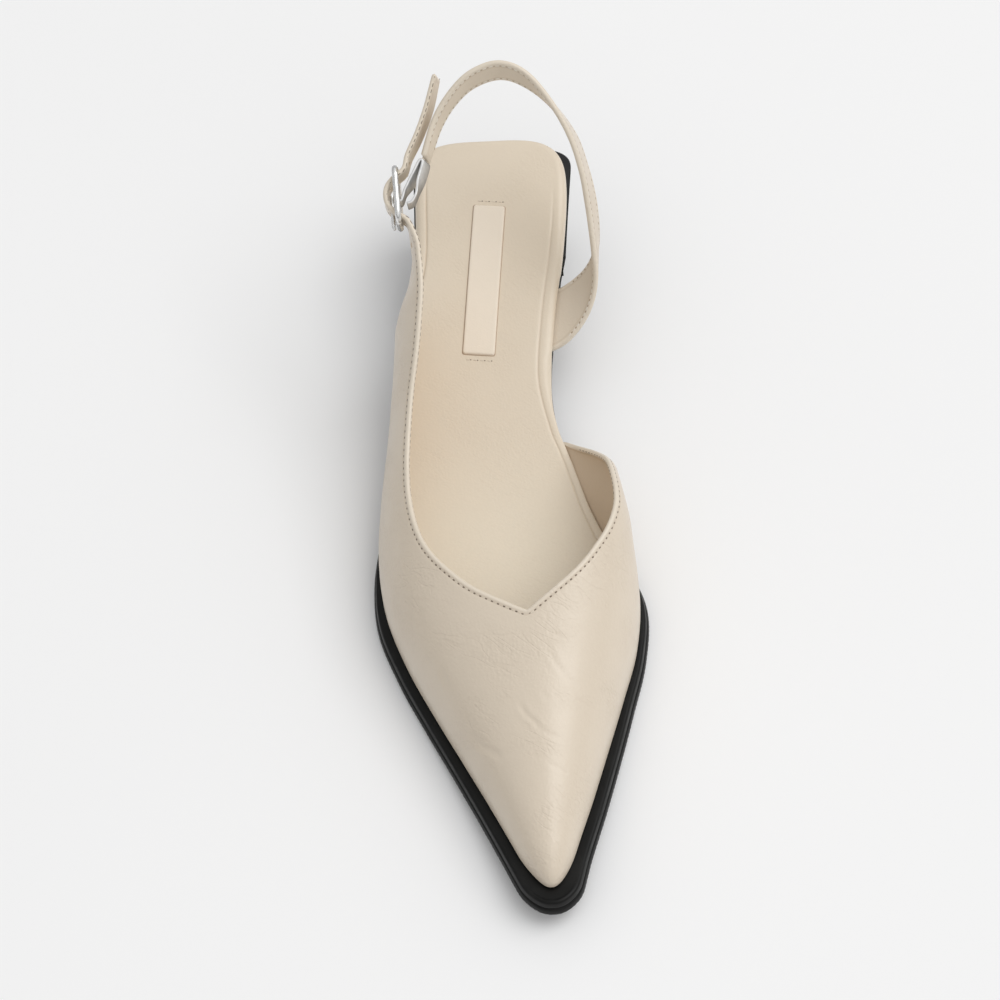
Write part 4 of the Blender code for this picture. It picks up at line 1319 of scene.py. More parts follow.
    def strap_line(self, row: StrapRow, shares: np.ndarray) -> np.ndarray:
        """Points across the strap at one row, from its lower to its upper edge."""
        pitch, roll = math.radians(row.pitch), math.radians(row.roll)
        up = np.array([-math.sin(roll), math.sin(pitch) * math.cos(roll), math.cos(pitch) * math.cos(roll)])
        centre = np.array([row.across, row.station, row.height])
        shares = shares[:, None]
        return centre + up * (shares - 0.5) * row.width - np.array(self.tail_run) * (1 - shares) * row.cut

    def quarter_line(self, row: Fan, shares: np.ndarray) -> np.ndarray:
        """Points up the outer quarter at one row, on the last's own wall."""
        low = row.low_height
        if low is None:
            low = float(self.last.floor(row.low_station)) + self.last.foot_gap
        stations = row.low_station + (row.up_station - row.low_station) * shares
        heights = low + (row.up_height - low) * shares
        wall = np.array([self.last.wall(s, z) for s, z in zip(stations, heights)])
        low_off = 0 if row.low_across is None else row.low_across - wall[0]
        up_off = 0 if row.up_across is None else row.up_across - wall[-1]
        return np.column_stack([wall + low_off + (up_off - low_off) * shares, stations, heights])

    def spaced(self, line: np.ndarray, open_top: float) -> np.ndarray:
        """One row divided closely near its edges.

        Args:
            line: The row as a fine line from the sole up.
            open_top: 1 where the row's top is a cut edge, 0 where it is the crown.

        Returns:
            The row's points.
        """
        total = line_lengths(line)[-1]
        steps = np.array(self.edge_steps) * min(1, total / self.strap_width)
        inner = np.linspace(steps[-1], total - steps[-1], self.middle_columns + 2)[1:-1]
        cut = np.concatenate([steps, inner, total - steps[::-1]])
        plain = np.linspace(steps[-1], total, self.middle_columns + len(steps) + 1)[1:]
        crown = np.concatenate([steps, plain])
        return line_at(line, cut * open_top + crown * (1 - open_top))

    def throat_stations(self, start: float) -> np.ndarray:
        """Stations from a start to the throat, closer together near the throat."""
        count = int((self.throat - start) / self.row_pitch)
        return self.throat - (self.throat - start) * np.linspace(1, 0, count) ** 1.5

    def topline_share(self, table: tuple[Topline, ...], station: float) -> float:
        """Share of a half section below the topline, with the throat's point rounded."""
        short = 1 - float(smooth(table, "share", station))
        near = float(fade(station, self.throat - 12, self.throat - 4))
        rounded = math.sqrt(max(short, 0) ** 2 + 2 * max(short, 0) * self.throat_rounding)
        return 1 - short - (rounded - short) * near

    def rows(self) -> tuple[np.ndarray, np.ndarray, int, int]:
        """Rows of both strips.

        Returns:
            Lateral rows from the strap's tip to the toe, medial rows from the inner waist to the toe,
            how many rows lie ahead of the throat, and the row where the quarter's back edge reaches
            the sole.
        """
        shares = np.linspace(0, 1, self.fine)
        start, inner_start = self.lateral_topline[0].station, self.medial_topline[0].station
        straps = self.strap_rows()
        back = [self.strap_line(row, shares) for row in straps]
        back += [self.quarter_line(row, shares) for row in self.quarter]
        back.append(self.last.section(start, Side.LATERAL, shares * self.lateral_topline[0].share))
        free_rows = sum(row.low_height is not None for row in self.quarter)
        to_sole = (len(straps) + free_rows) * self.sub_rows
        lateral = [self.spaced(line, 1.0) for line in through_rows(back, self.sub_rows)[:-1]]
        for station in self.throat_stations(start):
            share = self.topline_share(self.lateral_topline, station)
            lateral.append(self.spaced(self.last.section(station, Side.LATERAL, shares * share), 1.0))
        medial = []
        for station in self.throat_stations(inner_start):
            share = self.topline_share(self.medial_topline, station)
            line = self.last.section(station, Side.MEDIAL, shares * share)
            bow = float(smooth(self.medial_topline, "bow", station))
            line[:, 0] += bow * 27 / 4 * shares**2 * (1 - shares)
            medial.append(self.spaced(line, 1.0))
        near = self.throat + self.close_pitch * np.arange(1, self.close_rows + 1)
        half = int((self.last.toe_tip - near[-1]) / self.row_pitch * self.toe_density)
        far = eased(2 * near[-1] - self.last.toe_tip, self.last.toe_tip - 0.06, 2 * half + 1)[half + 1 :]
        ahead = np.concatenate([near, far])
        for station in ahead:
            open_top = 1 - float(fade(station, self.throat + 1, self.throat + 9))
            lateral.append(self.spaced(self.last.section(station, Side.LATERAL, shares), open_top))
            medial.append(self.spaced(self.last.section(station, Side.MEDIAL, shares), open_top))
        return np.array(lateral), np.array(medial), len(ahead), to_sole

    def sheet(self) -> tuple[LeatherSheet, np.ndarray, np.ndarray, int, int]:
        """The cut sheet with its point numbers by row.

        Returns:
            The sheet, numbers of its lateral and medial points, rows ahead of the throat, row at the sole.
        """
        lateral, medial, ahead, to_sole = self.rows()
        columns = lateral.shape[1]
        outer = np.arange(lateral.shape[0] * columns).reshape(-1, columns)
        fresh = np.ones(medial.shape[:2], bool)
        fresh[-(ahead + 1) :, -1] = False
        inner = np.empty(medial.shape[:2], int)
        inner[fresh] = outer.size + np.arange(fresh.sum())
        inner[-(ahead + 1) :, -1] = outer[-(ahead + 1) :, -1]
        points = placed(np.concatenate([lateral.reshape(-1, 3), medial[fresh]]))
        faces = grid_faces(outer) + grid_faces(inner, True)
        # The last rows of both strips close the rounded toe, and meet in one point on the crown
        for closing in grid_faces(np.stack([outer[-1], inner[-1]])):
            faces.append(tuple(dict.fromkeys(closing)))
        tops = (outer[: -ahead or None, -1], inner[: -ahead or None, -1])
        borders = [outer[:, 0], outer[0], tops[0], inner[:, 0], inner[0], tops[1]]
        return LeatherSheet.cut(points, faces, borders), outer, inner, ahead, to_sole

    def contour(
        self, sheet: LeatherSheet, rows: np.ndarray, to_seam: np.ndarray, relief: np.ndarray, inset: float
    ) -> list[list[np.ndarray]]:
        """Line at the seam's distance from a cut edge.

        Args:
            sheet: The cut sheet.
            rows: Point numbers by row, each row starting at the cut edge.
            to_seam: Distance of each point from the sewn edges.
            relief: Height of the outer face at each point.
            inset: The seam's distance from the edge.

        Returns:
            Points on the outer face, normals and ways towards the edge, row by row.
        """
        spots, normals, edges = [], [], []
        for row in rows:
            far = to_seam[row]
            beyond = np.flatnonzero(far >= inset)
            if not len(beyond) or beyond[0] == 0:
                continue
            k = beyond[0]
            share = (inset - far[k - 1]) / (far[k] - far[k - 1])
            a, b = row[k - 1], row[k]
            raised = [sheet.points[i] + sheet.normals[i] * relief[i] * MM for i in (a, b)]
            spots.append(raised[0] * (1 - share) + raised[1] * share)
            normals.append(sheet.normals[a] * (1 - share) + sheet.normals[b] * share)
            edges.append(sheet.points[row[0]] - sheet.points[row[k + 3]])
        return [spots, normals, edges]

    def relief(self, sheet: LeatherSheet, to_seam: np.ndarray) -> np.ndarray:
        """Grooves, creases and soft unevenness of the outer face, in millimetres."""
        plan = np.column_stack(
            [sheet.points[:, 0] / MM + ORIGIN_ACROSS, ORIGIN_STATION - sheet.points[:, 1] / MM]
        )
        made = -self.groove_depth * hump(to_seam, self.seam_inset, self.groove_width)
        made += self.lip_swell * hump(to_seam, 1.05, 0.4)
        clear = fade(sheet.to_edge, *self.crease_clear)
        for crease in self.creases:
            made += crease.relief(plan) * clear
        stations, heights = plan[:, 1], sheet.points[:, 2] / MM
        at_root = hump(stations, *self.root_station) * hump(heights, *self.root_height) * (plan[:, 0] < 0)
        at_root = at_root * fade(sheet.to_edge, 1.9, 4.0)
        slant = 0.8 * stations + 0.6 * heights
        made += self.root_wrinkle * at_root * np.sin(slant * 2 * math.pi / self.root_pitch)
        spots = [Vector(point) for point in sheet.points]
        uneven = np.array([noise.noise(spot * 95) + 0.5 * noise.noise(spot * 240) for spot in spots])
        return made + self.uneven * uneven * clear

    def build(self, wardrobe: Wardrobe) -> list[bpy.types.Object]:
        """Make and dress the upper and its seams."""
        sheet, outer, inner, ahead, to_sole = self.sheet()
        tops = [sheet.points[outer[:-ahead, -1]], sheet.points[inner[:-ahead, -1]]]
        sewn = [*tops, sheet.points[outer[: to_sole + 1, 0]], sheet.points[outer[0]]]
        to_seam = edge_distance(sheet.points, sewn, 0.03)
        relief = self.relief(sheet, to_seam)
        points, faces, inside = sheet.thickened(self.wall, 0.0, relief)
        high = np.array([points[list(face), 2].mean() for face in faces]) > self.strap_from * MM
        inside = inside + (inside == 1) * high
        skins = wardrobe.all(OAT_LEATHER, LINING_LEATHER, STRAP_LINING)
        upper = add_piece("upper_leather", points, faces, skins, inside, sheet.both(to_seam))
        self.punch(upper, outer, sheet)
        finish_piece(upper, "upper")
        seam = self.seam_lines(sheet, outer, inner, ahead, to_sole, to_seam, relief)
        made = [upper]
        for name, line, sewing, finishes in (
            ("upper_stitches", seam[0], Seam(), (OAT_THREAD, PAINTED_HOLE_SHADE)),
            ("lining_stitches", seam[1], self.lip_seam, (PALE_THREAD, PAINTED_HOLE_SHADE)),
        ):
            points, faces, kinds = sewing.sewn([line])
            made.append(add_piece(name, points, faces, wardrobe.all(*finishes), kinds))
            finish_piece(made[-1])
        return made

    def seam_lines(
        self,
        sheet: LeatherSheet,
        outer: np.ndarray,
        inner: np.ndarray,
        ahead: int,
        to_sole: int,
        to_seam: np.ndarray,
        relief: np.ndarray,
    ) -> list[tuple[np.ndarray, np.ndarray]]:
        """The seam from the sole up the back edge, round the strap and along the topline.

        Args:
            sheet: The cut sheet.
            outer: Numbers of its lateral points by row.
            inner: Numbers of its medial points by row.
            ahead: How many rows lie ahead of the throat.
            to_sole: Row where the quarter's back edge reaches the sole.
            to_seam: Distance of each point from the sewn edges.
            relief: Height of the outer face at each point.

        Returns:
            Points and normals of the seam on the outer face and of the lining's seam on the lip.
        """
        lines = []
        stop = self.close_rows - ahead
        for inset in (self.seam_inset, self.lip_inset):
            low = self.contour(sheet, outer[4 : to_sole - 2][::-1], to_seam, relief, inset)
            top = self.contour(sheet, outer[4:stop, ::-1], to_seam, relief, inset)
            waist = self.contour(sheet, inner[6:stop, ::-1][::-1], to_seam, relief, inset)
            spots, normals, edges = (np.array(low[k] + top[k] + waist[k]) for k in range(3))
            normals = unit(normals)
            edges = unit(edges)
            lines.append((spots, normals, edges))
        spots, normals, edges = lines[1]
        over = self.lip_turn[0] * edges - self.lip_turn[1] * normals
        return [lines[0][:2], (spots - normals * self.lip_depth * self.wall * MM, over)]

    def punch(self, upper: bpy.types.Object, outer: np.ndarray, sheet: LeatherSheet) -> None:
        """Cut the strap's buckle holes, and the one that the prong comes through."""
        rows = outer[: self.punch_rows * self.sub_rows, outer.shape[1] // 2]
        middle, normals = sheet.points[rows], sheet.normals[rows]
        lengths = line_lengths(middle)
        at_bar = lengths[(len(self.tail) + len(self.buckle.arch) - 1) * self.sub_rows]
        spots = []
        for along in self.hole_places:
            at = at_bar + along * MM
            spots.append((line_at(middle, np.array([at]))[0], [np.interp(at, lengths, n) for n in normals.T]))
        run = placed(self.buckle.point(1, 0)) - placed(self.buckle.point(0, 0))
        spots.append((placed(self.buckle.point(self.prong_hole, self.buckle.prong_out)), run))
        shape = bmesh.new()
        for spot, out in spots:
            turn = Vector(out).to_track_quat("Z", "Y").to_matrix().to_4x4()
            bmesh.ops.create_cone(
                shape,
                cap_ends=True,
                segments=self.hole_sides,
                radius1=self.hole_radius * MM,
                radius2=self.hole_radius * MM,
                depth=self.punch_depth * MM,
                matrix=Matrix.Translation(Vector(spot)) @ turn,
            )
        mesh = bpy.data.meshes.new("punch")
        shape.to_mesh(mesh)
        shape.free()
        mesh.materials.append(upper.data.materials[1])
        punch = bpy.data.objects.new("punch", mesh)
        bpy.context.scene.collection.objects.link(punch)
        cut = upper.modifiers.new("buckle_holes", "BOOLEAN")
        cut.operation = "DIFFERENCE"
        cut.object = punch
        apply_modifiers(upper)
        upper.data.shade_smooth()
        upper.data.set_sharp_from_angle(angle=math.radians(60))
        bpy.data.objects.remove(punch)


@dataclass
class HeelStrap:
    """The heel strap, from its tab at the inner waist round the heel to the buckle."""

    thickness: float = 1.8
    sub_rows: int = 14
    columns: int = 23
    seam_inset: float = 1.7
    groove_depth: float = 0.12
    groove_width: float = 0.34
    lip_swell: float = 0.06
    edge_steps: tuple[float, ...] = (0, 0.05, 0.18, 0.45, 0.9, 1.35, 1.7, 2.05, 2.6)
    rows: tuple[SlingRow, ...] = (
        SlingRow(10.3, 76.5, 19.7, 13.4, 56.0, 25.8), SlingRow(15.8, 76.2, 19.9, 18.8, 55.4, 26.1),
        SlingRow(21.2, 74.9, 22.6, 23.6, 54.6, 28.6), SlingRow(26.4, 71.6, 27.0, 28.0, 54.0, 33.0),
        SlingRow(29.9, 67.8, 32.4, 31.2, 52.6, 37.6), SlingRow(31.6, 63.4, 38.6, 33.0, 50.6, 42.2),
        SlingRow(31.7, 58.8, 45.4, 33.8, 48.0, 46.4), SlingRow(31.3, 53.6, 52.8, 34.0, 44.8, 50.8),
        SlingRow(30.7, 47.6, 61.0, 33.6, 40.6, 56.0), SlingRow(29.6, 40.9, 69.8, 32.0, 34.6, 62.8),
        SlingRow(26.8, 32.9, 78.0, 29.0, 27.0, 70.4), SlingRow(21.4, 24.2, 86.0, 22.6, 20.2, 77.8),
        SlingRow(14.4, 16.8, 92.4, 14.2, 15.2, 83.2), SlingRow(5.9, 13.2, 94.2, 6.3, 12.6, 85.0),
        SlingRow(-3.4, 14.8, 92.4, -2.6, 13.6, 83.2), SlingRow(-10.6, 18.9, 88.0, -9.4, 16.6, 79.0),
        SlingRow(-16.6, 25.0, 82.2, -15.0, 21.8, 73.6),
        SlingRow(-21.2, 33.6, 74.6, -20.0, 30.2, 66.2),
    )

    def build(self, wardrobe: Wardrobe) -> list[bpy.types.Object]:
        """Make and dress the strap and its seams."""
        edges = through_rows([(row[3:], row[:3]) for row in self.rows], self.sub_rows)
        steps = np.array(self.edge_steps)
        grid = []
        for low, up in edges:
            width = np.linalg.norm(up - low)
            inner = np.linspace(steps[-1], width - steps[-1], self.columns - 2 * len(steps) + 2)[1:-1]
            at = np.concatenate([steps, inner, width - steps[::-1]]) / width
            grid.append(low + (up - low) * at[:, None])
        points = placed(np.array(grid).reshape(-1, 3))
        numbers = np.arange(len(points)).reshape(len(edges), self.columns)
        borders = [numbers[:, 0], numbers[:, -1], numbers[0], numbers[-1]]
        sheet = LeatherSheet.cut(points, grid_faces(numbers), borders)
        relief = -self.groove_depth * hump(sheet.to_edge, self.seam_inset, self.groove_width)
        relief += self.lip_swell * hump(sheet.to_edge, 1.0, 0.4)
        shell, shell_faces, inside = sheet.thickened(self.thickness, self.thickness / 2, relief)
        skins = wardrobe.all(OAT_LEATHER, STRAP_LINING)
        strap = add_piece("heel_strap_leather", shell, shell_faces, skins, inside, sheet.both(sheet.to_edge))
        finish_piece(strap, "sling_strap")
        return [strap, self.build_seams(sheet, numbers, wardrobe)]

    def build_seams(self, sheet: LeatherSheet, numbers: np.ndarray, wardrobe: Wardrobe) -> bpy.types.Object:
        """Stitches near both edges, on both faces."""
        lines = []
        half = self.thickness / 2
        for column, facing, depth in ((6, 1, half - self.groove_depth), (5, -1, half)):
            for side in (column, self.columns - 1 - column):
                row = numbers[2 * self.sub_rows : -6, side]
                normals = sheet.normals[row] * facing
                lines.append((sheet.points[row] + normals * depth * MM, normals))
        points, faces, kinds = Seam().sewn(lines)
        threads = wardrobe.all(PALE_THREAD, FAINT_HOLE_SHADE)
        stitches = add_piece("heel_strap_stitches", points, faces, threads, kinds)
        finish_piece(stitches)
        return stitches


@dataclass
class Insole:
    """Covered insole with a rolled edge, and the bare patch on its seat."""

    last: Last
    toe: float = 259.0
    toe_rounding: float = 6.5
    seat_rounding: float = 21.0
    seat_power: float = 3.7
    covered_inset: float = 2.05
    quarter_covers: Pair = (40.0, 68.0)
    vamp_covers: Pair = (84.0, 106.6)
    edge_follows_wall: float = 0.9
    wing_swell: tuple[tuple[float, ...], ...] = ((106, 112, 118, 124, 131, 144), (0, 0.7, 0.9, 0.7, 0.3, 0))
    dish: float = 0.8
    dish_starts: Pair = (9.0, 32.0)
    dish_ends: Pair = (50.0, 120.0)
    footbed_rise: float = 0.05
    footbed_rises: Pair = (9.0, 30.0)
    toe_slim: float = 0.8
    toe_slims_from: float = 190.0
    covered_slim: float = 0.6
    medial_welt_slim: float = 0.3
    lateral_welt_nearer: float = 0.45
    lateral_groove: tuple[float, ...] = (0.7, 8.0, 24.0, 100.0, 150.0)
    medial_groove: tuple[float, ...] = (0.45, 16.0, 44.0, 150.0, 178.0)
    tuck: Pair = (50.5, 82.0)
    tuck_fade: float = 3.0
    tuck_depth: float = 8.0
    tuck_lift: float = 2.5
    count: int = 230
    columns: int = 26
    patch_length: float = 52.0
    patch_width: float = 10.6
    patch_corner: float = 0.8
    patch_centre: Pair = (-5.3, 51.8)
    patch_turn: float = 8.4
    patch_seam: Seam = Seam(pitch=1.9, thread=(1.25, 0.4, 0.3), hole=(0.5, 0.4, 0.1))
    patch_seam_beyond: float = 1.8
    patch_seam_inset: float = 0.6
    patch_edge: tuple[Step, ...] = steps(
        (-0.28, 0.02), (-0.28, 0.12), (0.0, 0.12), (0.0, 0.45), (0.08, 0.62), (0.3, 0.73),
        (0.8, 0.75), (2.0, 0.78),
    )
    boards: tuple[Board, ...] = (
        Board(0, 5.6), Board(45, 5.4), Board(90, 5.0), Board(115, 4.2), Board(140, 3.0),
        Board(268, 2.4),
    )
    rolled_edge: tuple[Step, ...] = steps(
        (1.4, 0.0), (0.7, 0.09), (0.3, 0.2), (0.08, 0.32), (0.0, 0.45), (0.06, 0.58),
        (0.3, 0.72), (0.7, 0.84), (1.3, 0.93), (1.9, 0.975), (2.6, 1.0),
    )
    welt: tuple[Step, ...] = steps(
        (3.2, 0.0), (3.7, -0.06), (4.0, -0.2), (4.25, -0.5), (4.45, -0.62), (4.65, -0.5),
        (4.9, -0.2), (5.3, 0.0), (6.0, 0.06), (7.0, 0.05),
    )

    def outline(self) -> np.ndarray:
        """Plan outline: bare at seat and inner waist, inside the upper further forward."""
        stations = eased(0.04, self.toe, self.count)
        lateral, medial = self.last.outline(stations)
        for side, covers, sign in ((lateral, self.quarter_covers, 1), (medial, self.vamp_covers, -1)):
            slope = np.hypot(1, np.gradient(side, stations))
            side += sign * self.covered_inset * fade(stations, *covers) * slope
        keep = rounded_end(stations, self.seat_rounding, self.seat_power)
        toe_keep = rounded_end(self.toe + 0.1 - stations, self.toe_rounding, self.last.toe_power)
        keep = np.minimum(keep, toe_keep)
        return self.last.closed(stations, lateral, medial, keep)

    def top(self, stations: np.ndarray) -> np.ndarray:
        """Height of the insole's upper face at its rim."""
        return self.last.floor(stations) + SEAM_GAP + smooth(self.boards, "thickness", stations)

    def dished(self, plan: np.ndarray) -> np.ndarray:
        """Height of the insole's upper face over plan points, hollowed where the heel rests."""
        lateral, medial = self.last.outline(plan[..., 1])
        off = (plan[..., 0] - (lateral + medial) / 2) / ((medial - lateral) / 2)
        hollow = (1 - np.clip(off, -1, 1) ** 2) ** 2 * fade(plan[..., 1], *self.dish_starts)
        hollow = hollow * (1 - fade(plan[..., 1], *self.dish_ends))
        return self.top(plan[..., 1]) - self.dish * hollow

    def covered(self, stations: np.ndarray, medial: np.ndarray) -> np.ndarray:
        """1 where the upper covers the insole's edge."""
        return np.where(medial, fade(stations, *self.vamp_covers), fade(stations, *self.quarter_covers))

    def groove_share(self, stations: np.ndarray, medial: np.ndarray) -> np.ndarray:
        """How far the groove inside the rolled edge sinks on each side, fading out at both of its ends."""
        shares = []
        for depth, start, full, fades, end in (self.lateral_groove, self.medial_groove):
            shares.append(depth * fade(stations, start, full) * (1 - fade(stations, fades, end)))
        return np.where(medial, shares[1], shares[0])

    def wall_lean(self, stations: np.ndarray, medial: np.ndarray) -> np.ndarray:
        """How far the upper's wall leans out for each millimetre of height, where it covers the edge."""
        leans = [np.tan(np.radians(smooth(self.last.rows, side.value + "_lean", stations))) for side in Side]
        return np.where(medial, leans[1], leans[0]) * self.covered(stations, medial)

    def build(self, wardrobe: Wardrobe) -> list[bpy.types.Object]:
        """Make and dress the insole, the patch and the patch's stitches."""
        ring = self.outline()
        count = len(ring)
        slim = 1 - self.toe_slim * fade(ring[:, 1], self.toe_slims_from, self.toe)
        start, end = self.tuck
        medial = np.arange(count) >= count // 2
        tucked = fade(ring[:, 1], start, start + self.tuck_fade)
        tucked = tucked * (1 - fade(ring[:, 1], end - self.tuck_fade, end)) * medial
        covered = self.covered(ring[:, 1], medial)
        lean = self.edge_follows_wall * self.wall_lean(ring[:, 1], medial)
        lean = lean * smooth(self.boards, "thickness", ring[:, 1])
        lean = lean + medial * np.interp(ring[:, 1], *self.wing_swell)
        welt_slim = slim * (1 - np.where(medial, self.medial_welt_slim, self.covered_slim) * covered)
        slim = slim * (1 - self.covered_slim * covered)
        first = self.rolled_edge[0]
        under = inset_ring(ring, first.inset * slim + self.tuck_depth * tucked)
        layers = [with_height(under, self.last.floor(under[:, 1]) + SEAM_GAP)]
        for step in self.rolled_edge:
            low = step.level == 0
            relief = self.tuck_depth * 0.8 * tucked * low
            moved = inset_ring(ring, step.inset * slim - lean * step.level + relief)
            lift = self.tuck_lift * tucked * (1 - step.level) + 0.1 * low
            thickness = smooth(self.boards, "thickness", moved[:, 1])
            height = self.last.floor(moved[:, 1]) + SEAM_GAP + lift + thickness * step.level
            layers.append(with_height(moved, height))
        bare = self.groove_share(ring[:, 1], medial)
        nearer = 1 - self.lateral_welt_nearer * ~medial * fade(ring[:, 1], 2, 24)
        for step in self.welt:
            inset = self.welt[0].inset + (step.inset - self.welt[0].inset) * nearer
            moved = inset_ring(ring, inset * welt_slim - lean)
            layers.append(with_height(moved, self.dished(moved) + step.level * bare))
        points = np.concatenate(layers)
        faces = ring_faces(len(layers), count)
        faces += rung_faces(0, count)
        rungs, rung_quads = self.footbed(layers[-1], len(points))
        points = np.concatenate([points, rungs])
        faces += rung_quads
        # The welt rows are given distances near the groove's, so that the cover's leather paints shade along
        # the groove inside the rolled edge
        to_edge = np.full(len(points), FAR_FROM_EDGE)
        groove = min(self.welt, key=lambda step: step.level).inset
        for k, step in enumerate(self.welt):
            at = (len(self.rolled_edge) + 1 + k) * count
            nearer = FAR_FROM_EDGE - GROOVE_FROM_EDGE - abs(step.inset - groove)
            to_edge[at : at + count] = FAR_FROM_EDGE - nearer * fade(bare, 0.05, 0.45)
        cover = add_piece("insole_cover", placed(points), faces, wardrobe.all(SOCK_LEATHER), None, to_edge)
        face_outwards(cover)
        finish_piece(cover, "insole")
        return [cover, self.build_patch(wardrobe), self.build_patch_stitches(wardrobe)]

    def footbed(self, ring: np.ndarray, first: int) -> Mesh:
        """Fill the insole's top inside its last outline.

        Args:
            ring: The last outline.
            first: Number of the first new point.

        Returns:
            New points and the faces that join them to the outline.
        """
        count = len(ring)
        half = count // 2
        shares = np.linspace(0, 1, self.columns + 2)[1:-1]
        left, right = ring[:half], ring[::-1][:half]
        flat = left[:, None, :2] + (right - left)[:, None, :2] * shares[None, :, None]
        plan = flat.reshape(-1, 2)
        rise = self.footbed_rise * fade(plan[:, 1], *self.footbed_rises)
        points = with_height(plan, self.dished(plan) + rise)
        base = first - count
        numbers = np.empty((half, self.columns + 2), int)
        numbers[:, 0] = base + np.arange(half)
        numbers[:, -1] = base + count - 1 - np.arange(half)
        numbers[:, 1:-1] = first + np.arange(half * self.columns).reshape(half, self.columns)
        return points, grid_faces(numbers)

    def patch_spot(self, along: np.ndarray, side: np.ndarray, rise: float) -> np.ndarray:
        """Shoe points over the patch, from places along and across it."""
        turn = math.radians(self.patch_turn)
        across = self.patch_centre[0] + side * math.cos(turn) - along * math.sin(turn)
        station = self.patch_centre[1] + along * math.cos(turn) + side * math.sin(turn)
        height = self.dished(np.stack([across, station], axis=-1)) + rise
        return np.stack([across, station, height], axis=-1)

    def build_patch(self, wardrobe: Wardrobe) -> bpy.types.Object:
        """Bare pale patch with softened edges, following the seat's slope, and painted shade round its low
        edge.
        """
        layers = []
        for inset, rise in self.patch_edge:
            half_length = self.patch_length / 2 - inset
            half_width = self.patch_width / 2 - inset
            turn = np.linspace(0, math.pi / 2, 6)
            cap = self.patch_corner * (1 - np.cos(turn))
            flat = np.linspace(-half_length + self.patch_corner, half_length - self.patch_corner, 50)
            alongs = np.concatenate([-half_length + cap[:-1], flat, half_length - cap[::-1][1:]])
            near = np.clip(self.patch_corner - (half_length - np.abs(alongs)), 0, self.patch_corner)
            sides = half_width - self.patch_corner + np.sqrt(np.maximum(self.patch_corner**2 - near**2, 0))
            left = self.patch_spot(alongs, -sides, rise)
            right = self.patch_spot(alongs, sides, rise)
            layers.append(np.concatenate([left, right[::-1]]))
        count = len(layers[0])
        faces = stacked_faces(len(layers), count)
        # The patch's low edge band gets painted shade, a brown outline where its edge meets the insole
        kinds = np.zeros(len(faces), np.int32)
        kinds[: 2 * count] = 1
        skins = wardrobe.all(PATCH_LEATHER, PATCH_OUTLINE_SHADE)
        patch = add_piece("seat_patch", placed(np.concatenate(layers)), faces, skins, kinds)
        face_outwards(patch)
        finish_piece(patch, "insole_label")
        return patch

    def build_patch_stitches(self, wardrobe: Wardrobe) -> bpy.types.Object:
        """A short row of stitches beyond each end of the patch."""
        lines = []
        count = 20
        half = self.patch_width / 2
        sides = np.linspace(-half + self.patch_seam_inset, half - self.patch_seam_inset, count)
        up = np.tile((0.0, 0.0, 1.0), (count, 1))
        for end in (-1, 1):
            alongs = np.full(count, end * (self.patch_length / 2 + self.patch_seam_beyond))
            lines.append((placed(self.patch_spot(alongs, sides, 0.08)), up))
        points, faces, kinds = self.patch_seam.sewn(lines)
        threads = wardrobe.all(OAT_THREAD, PAINTED_HOLE_SHADE)
        stitches = add_piece("patch_stitches", points, faces, threads, kinds)
        finish_piece(stitches)
        return stitches


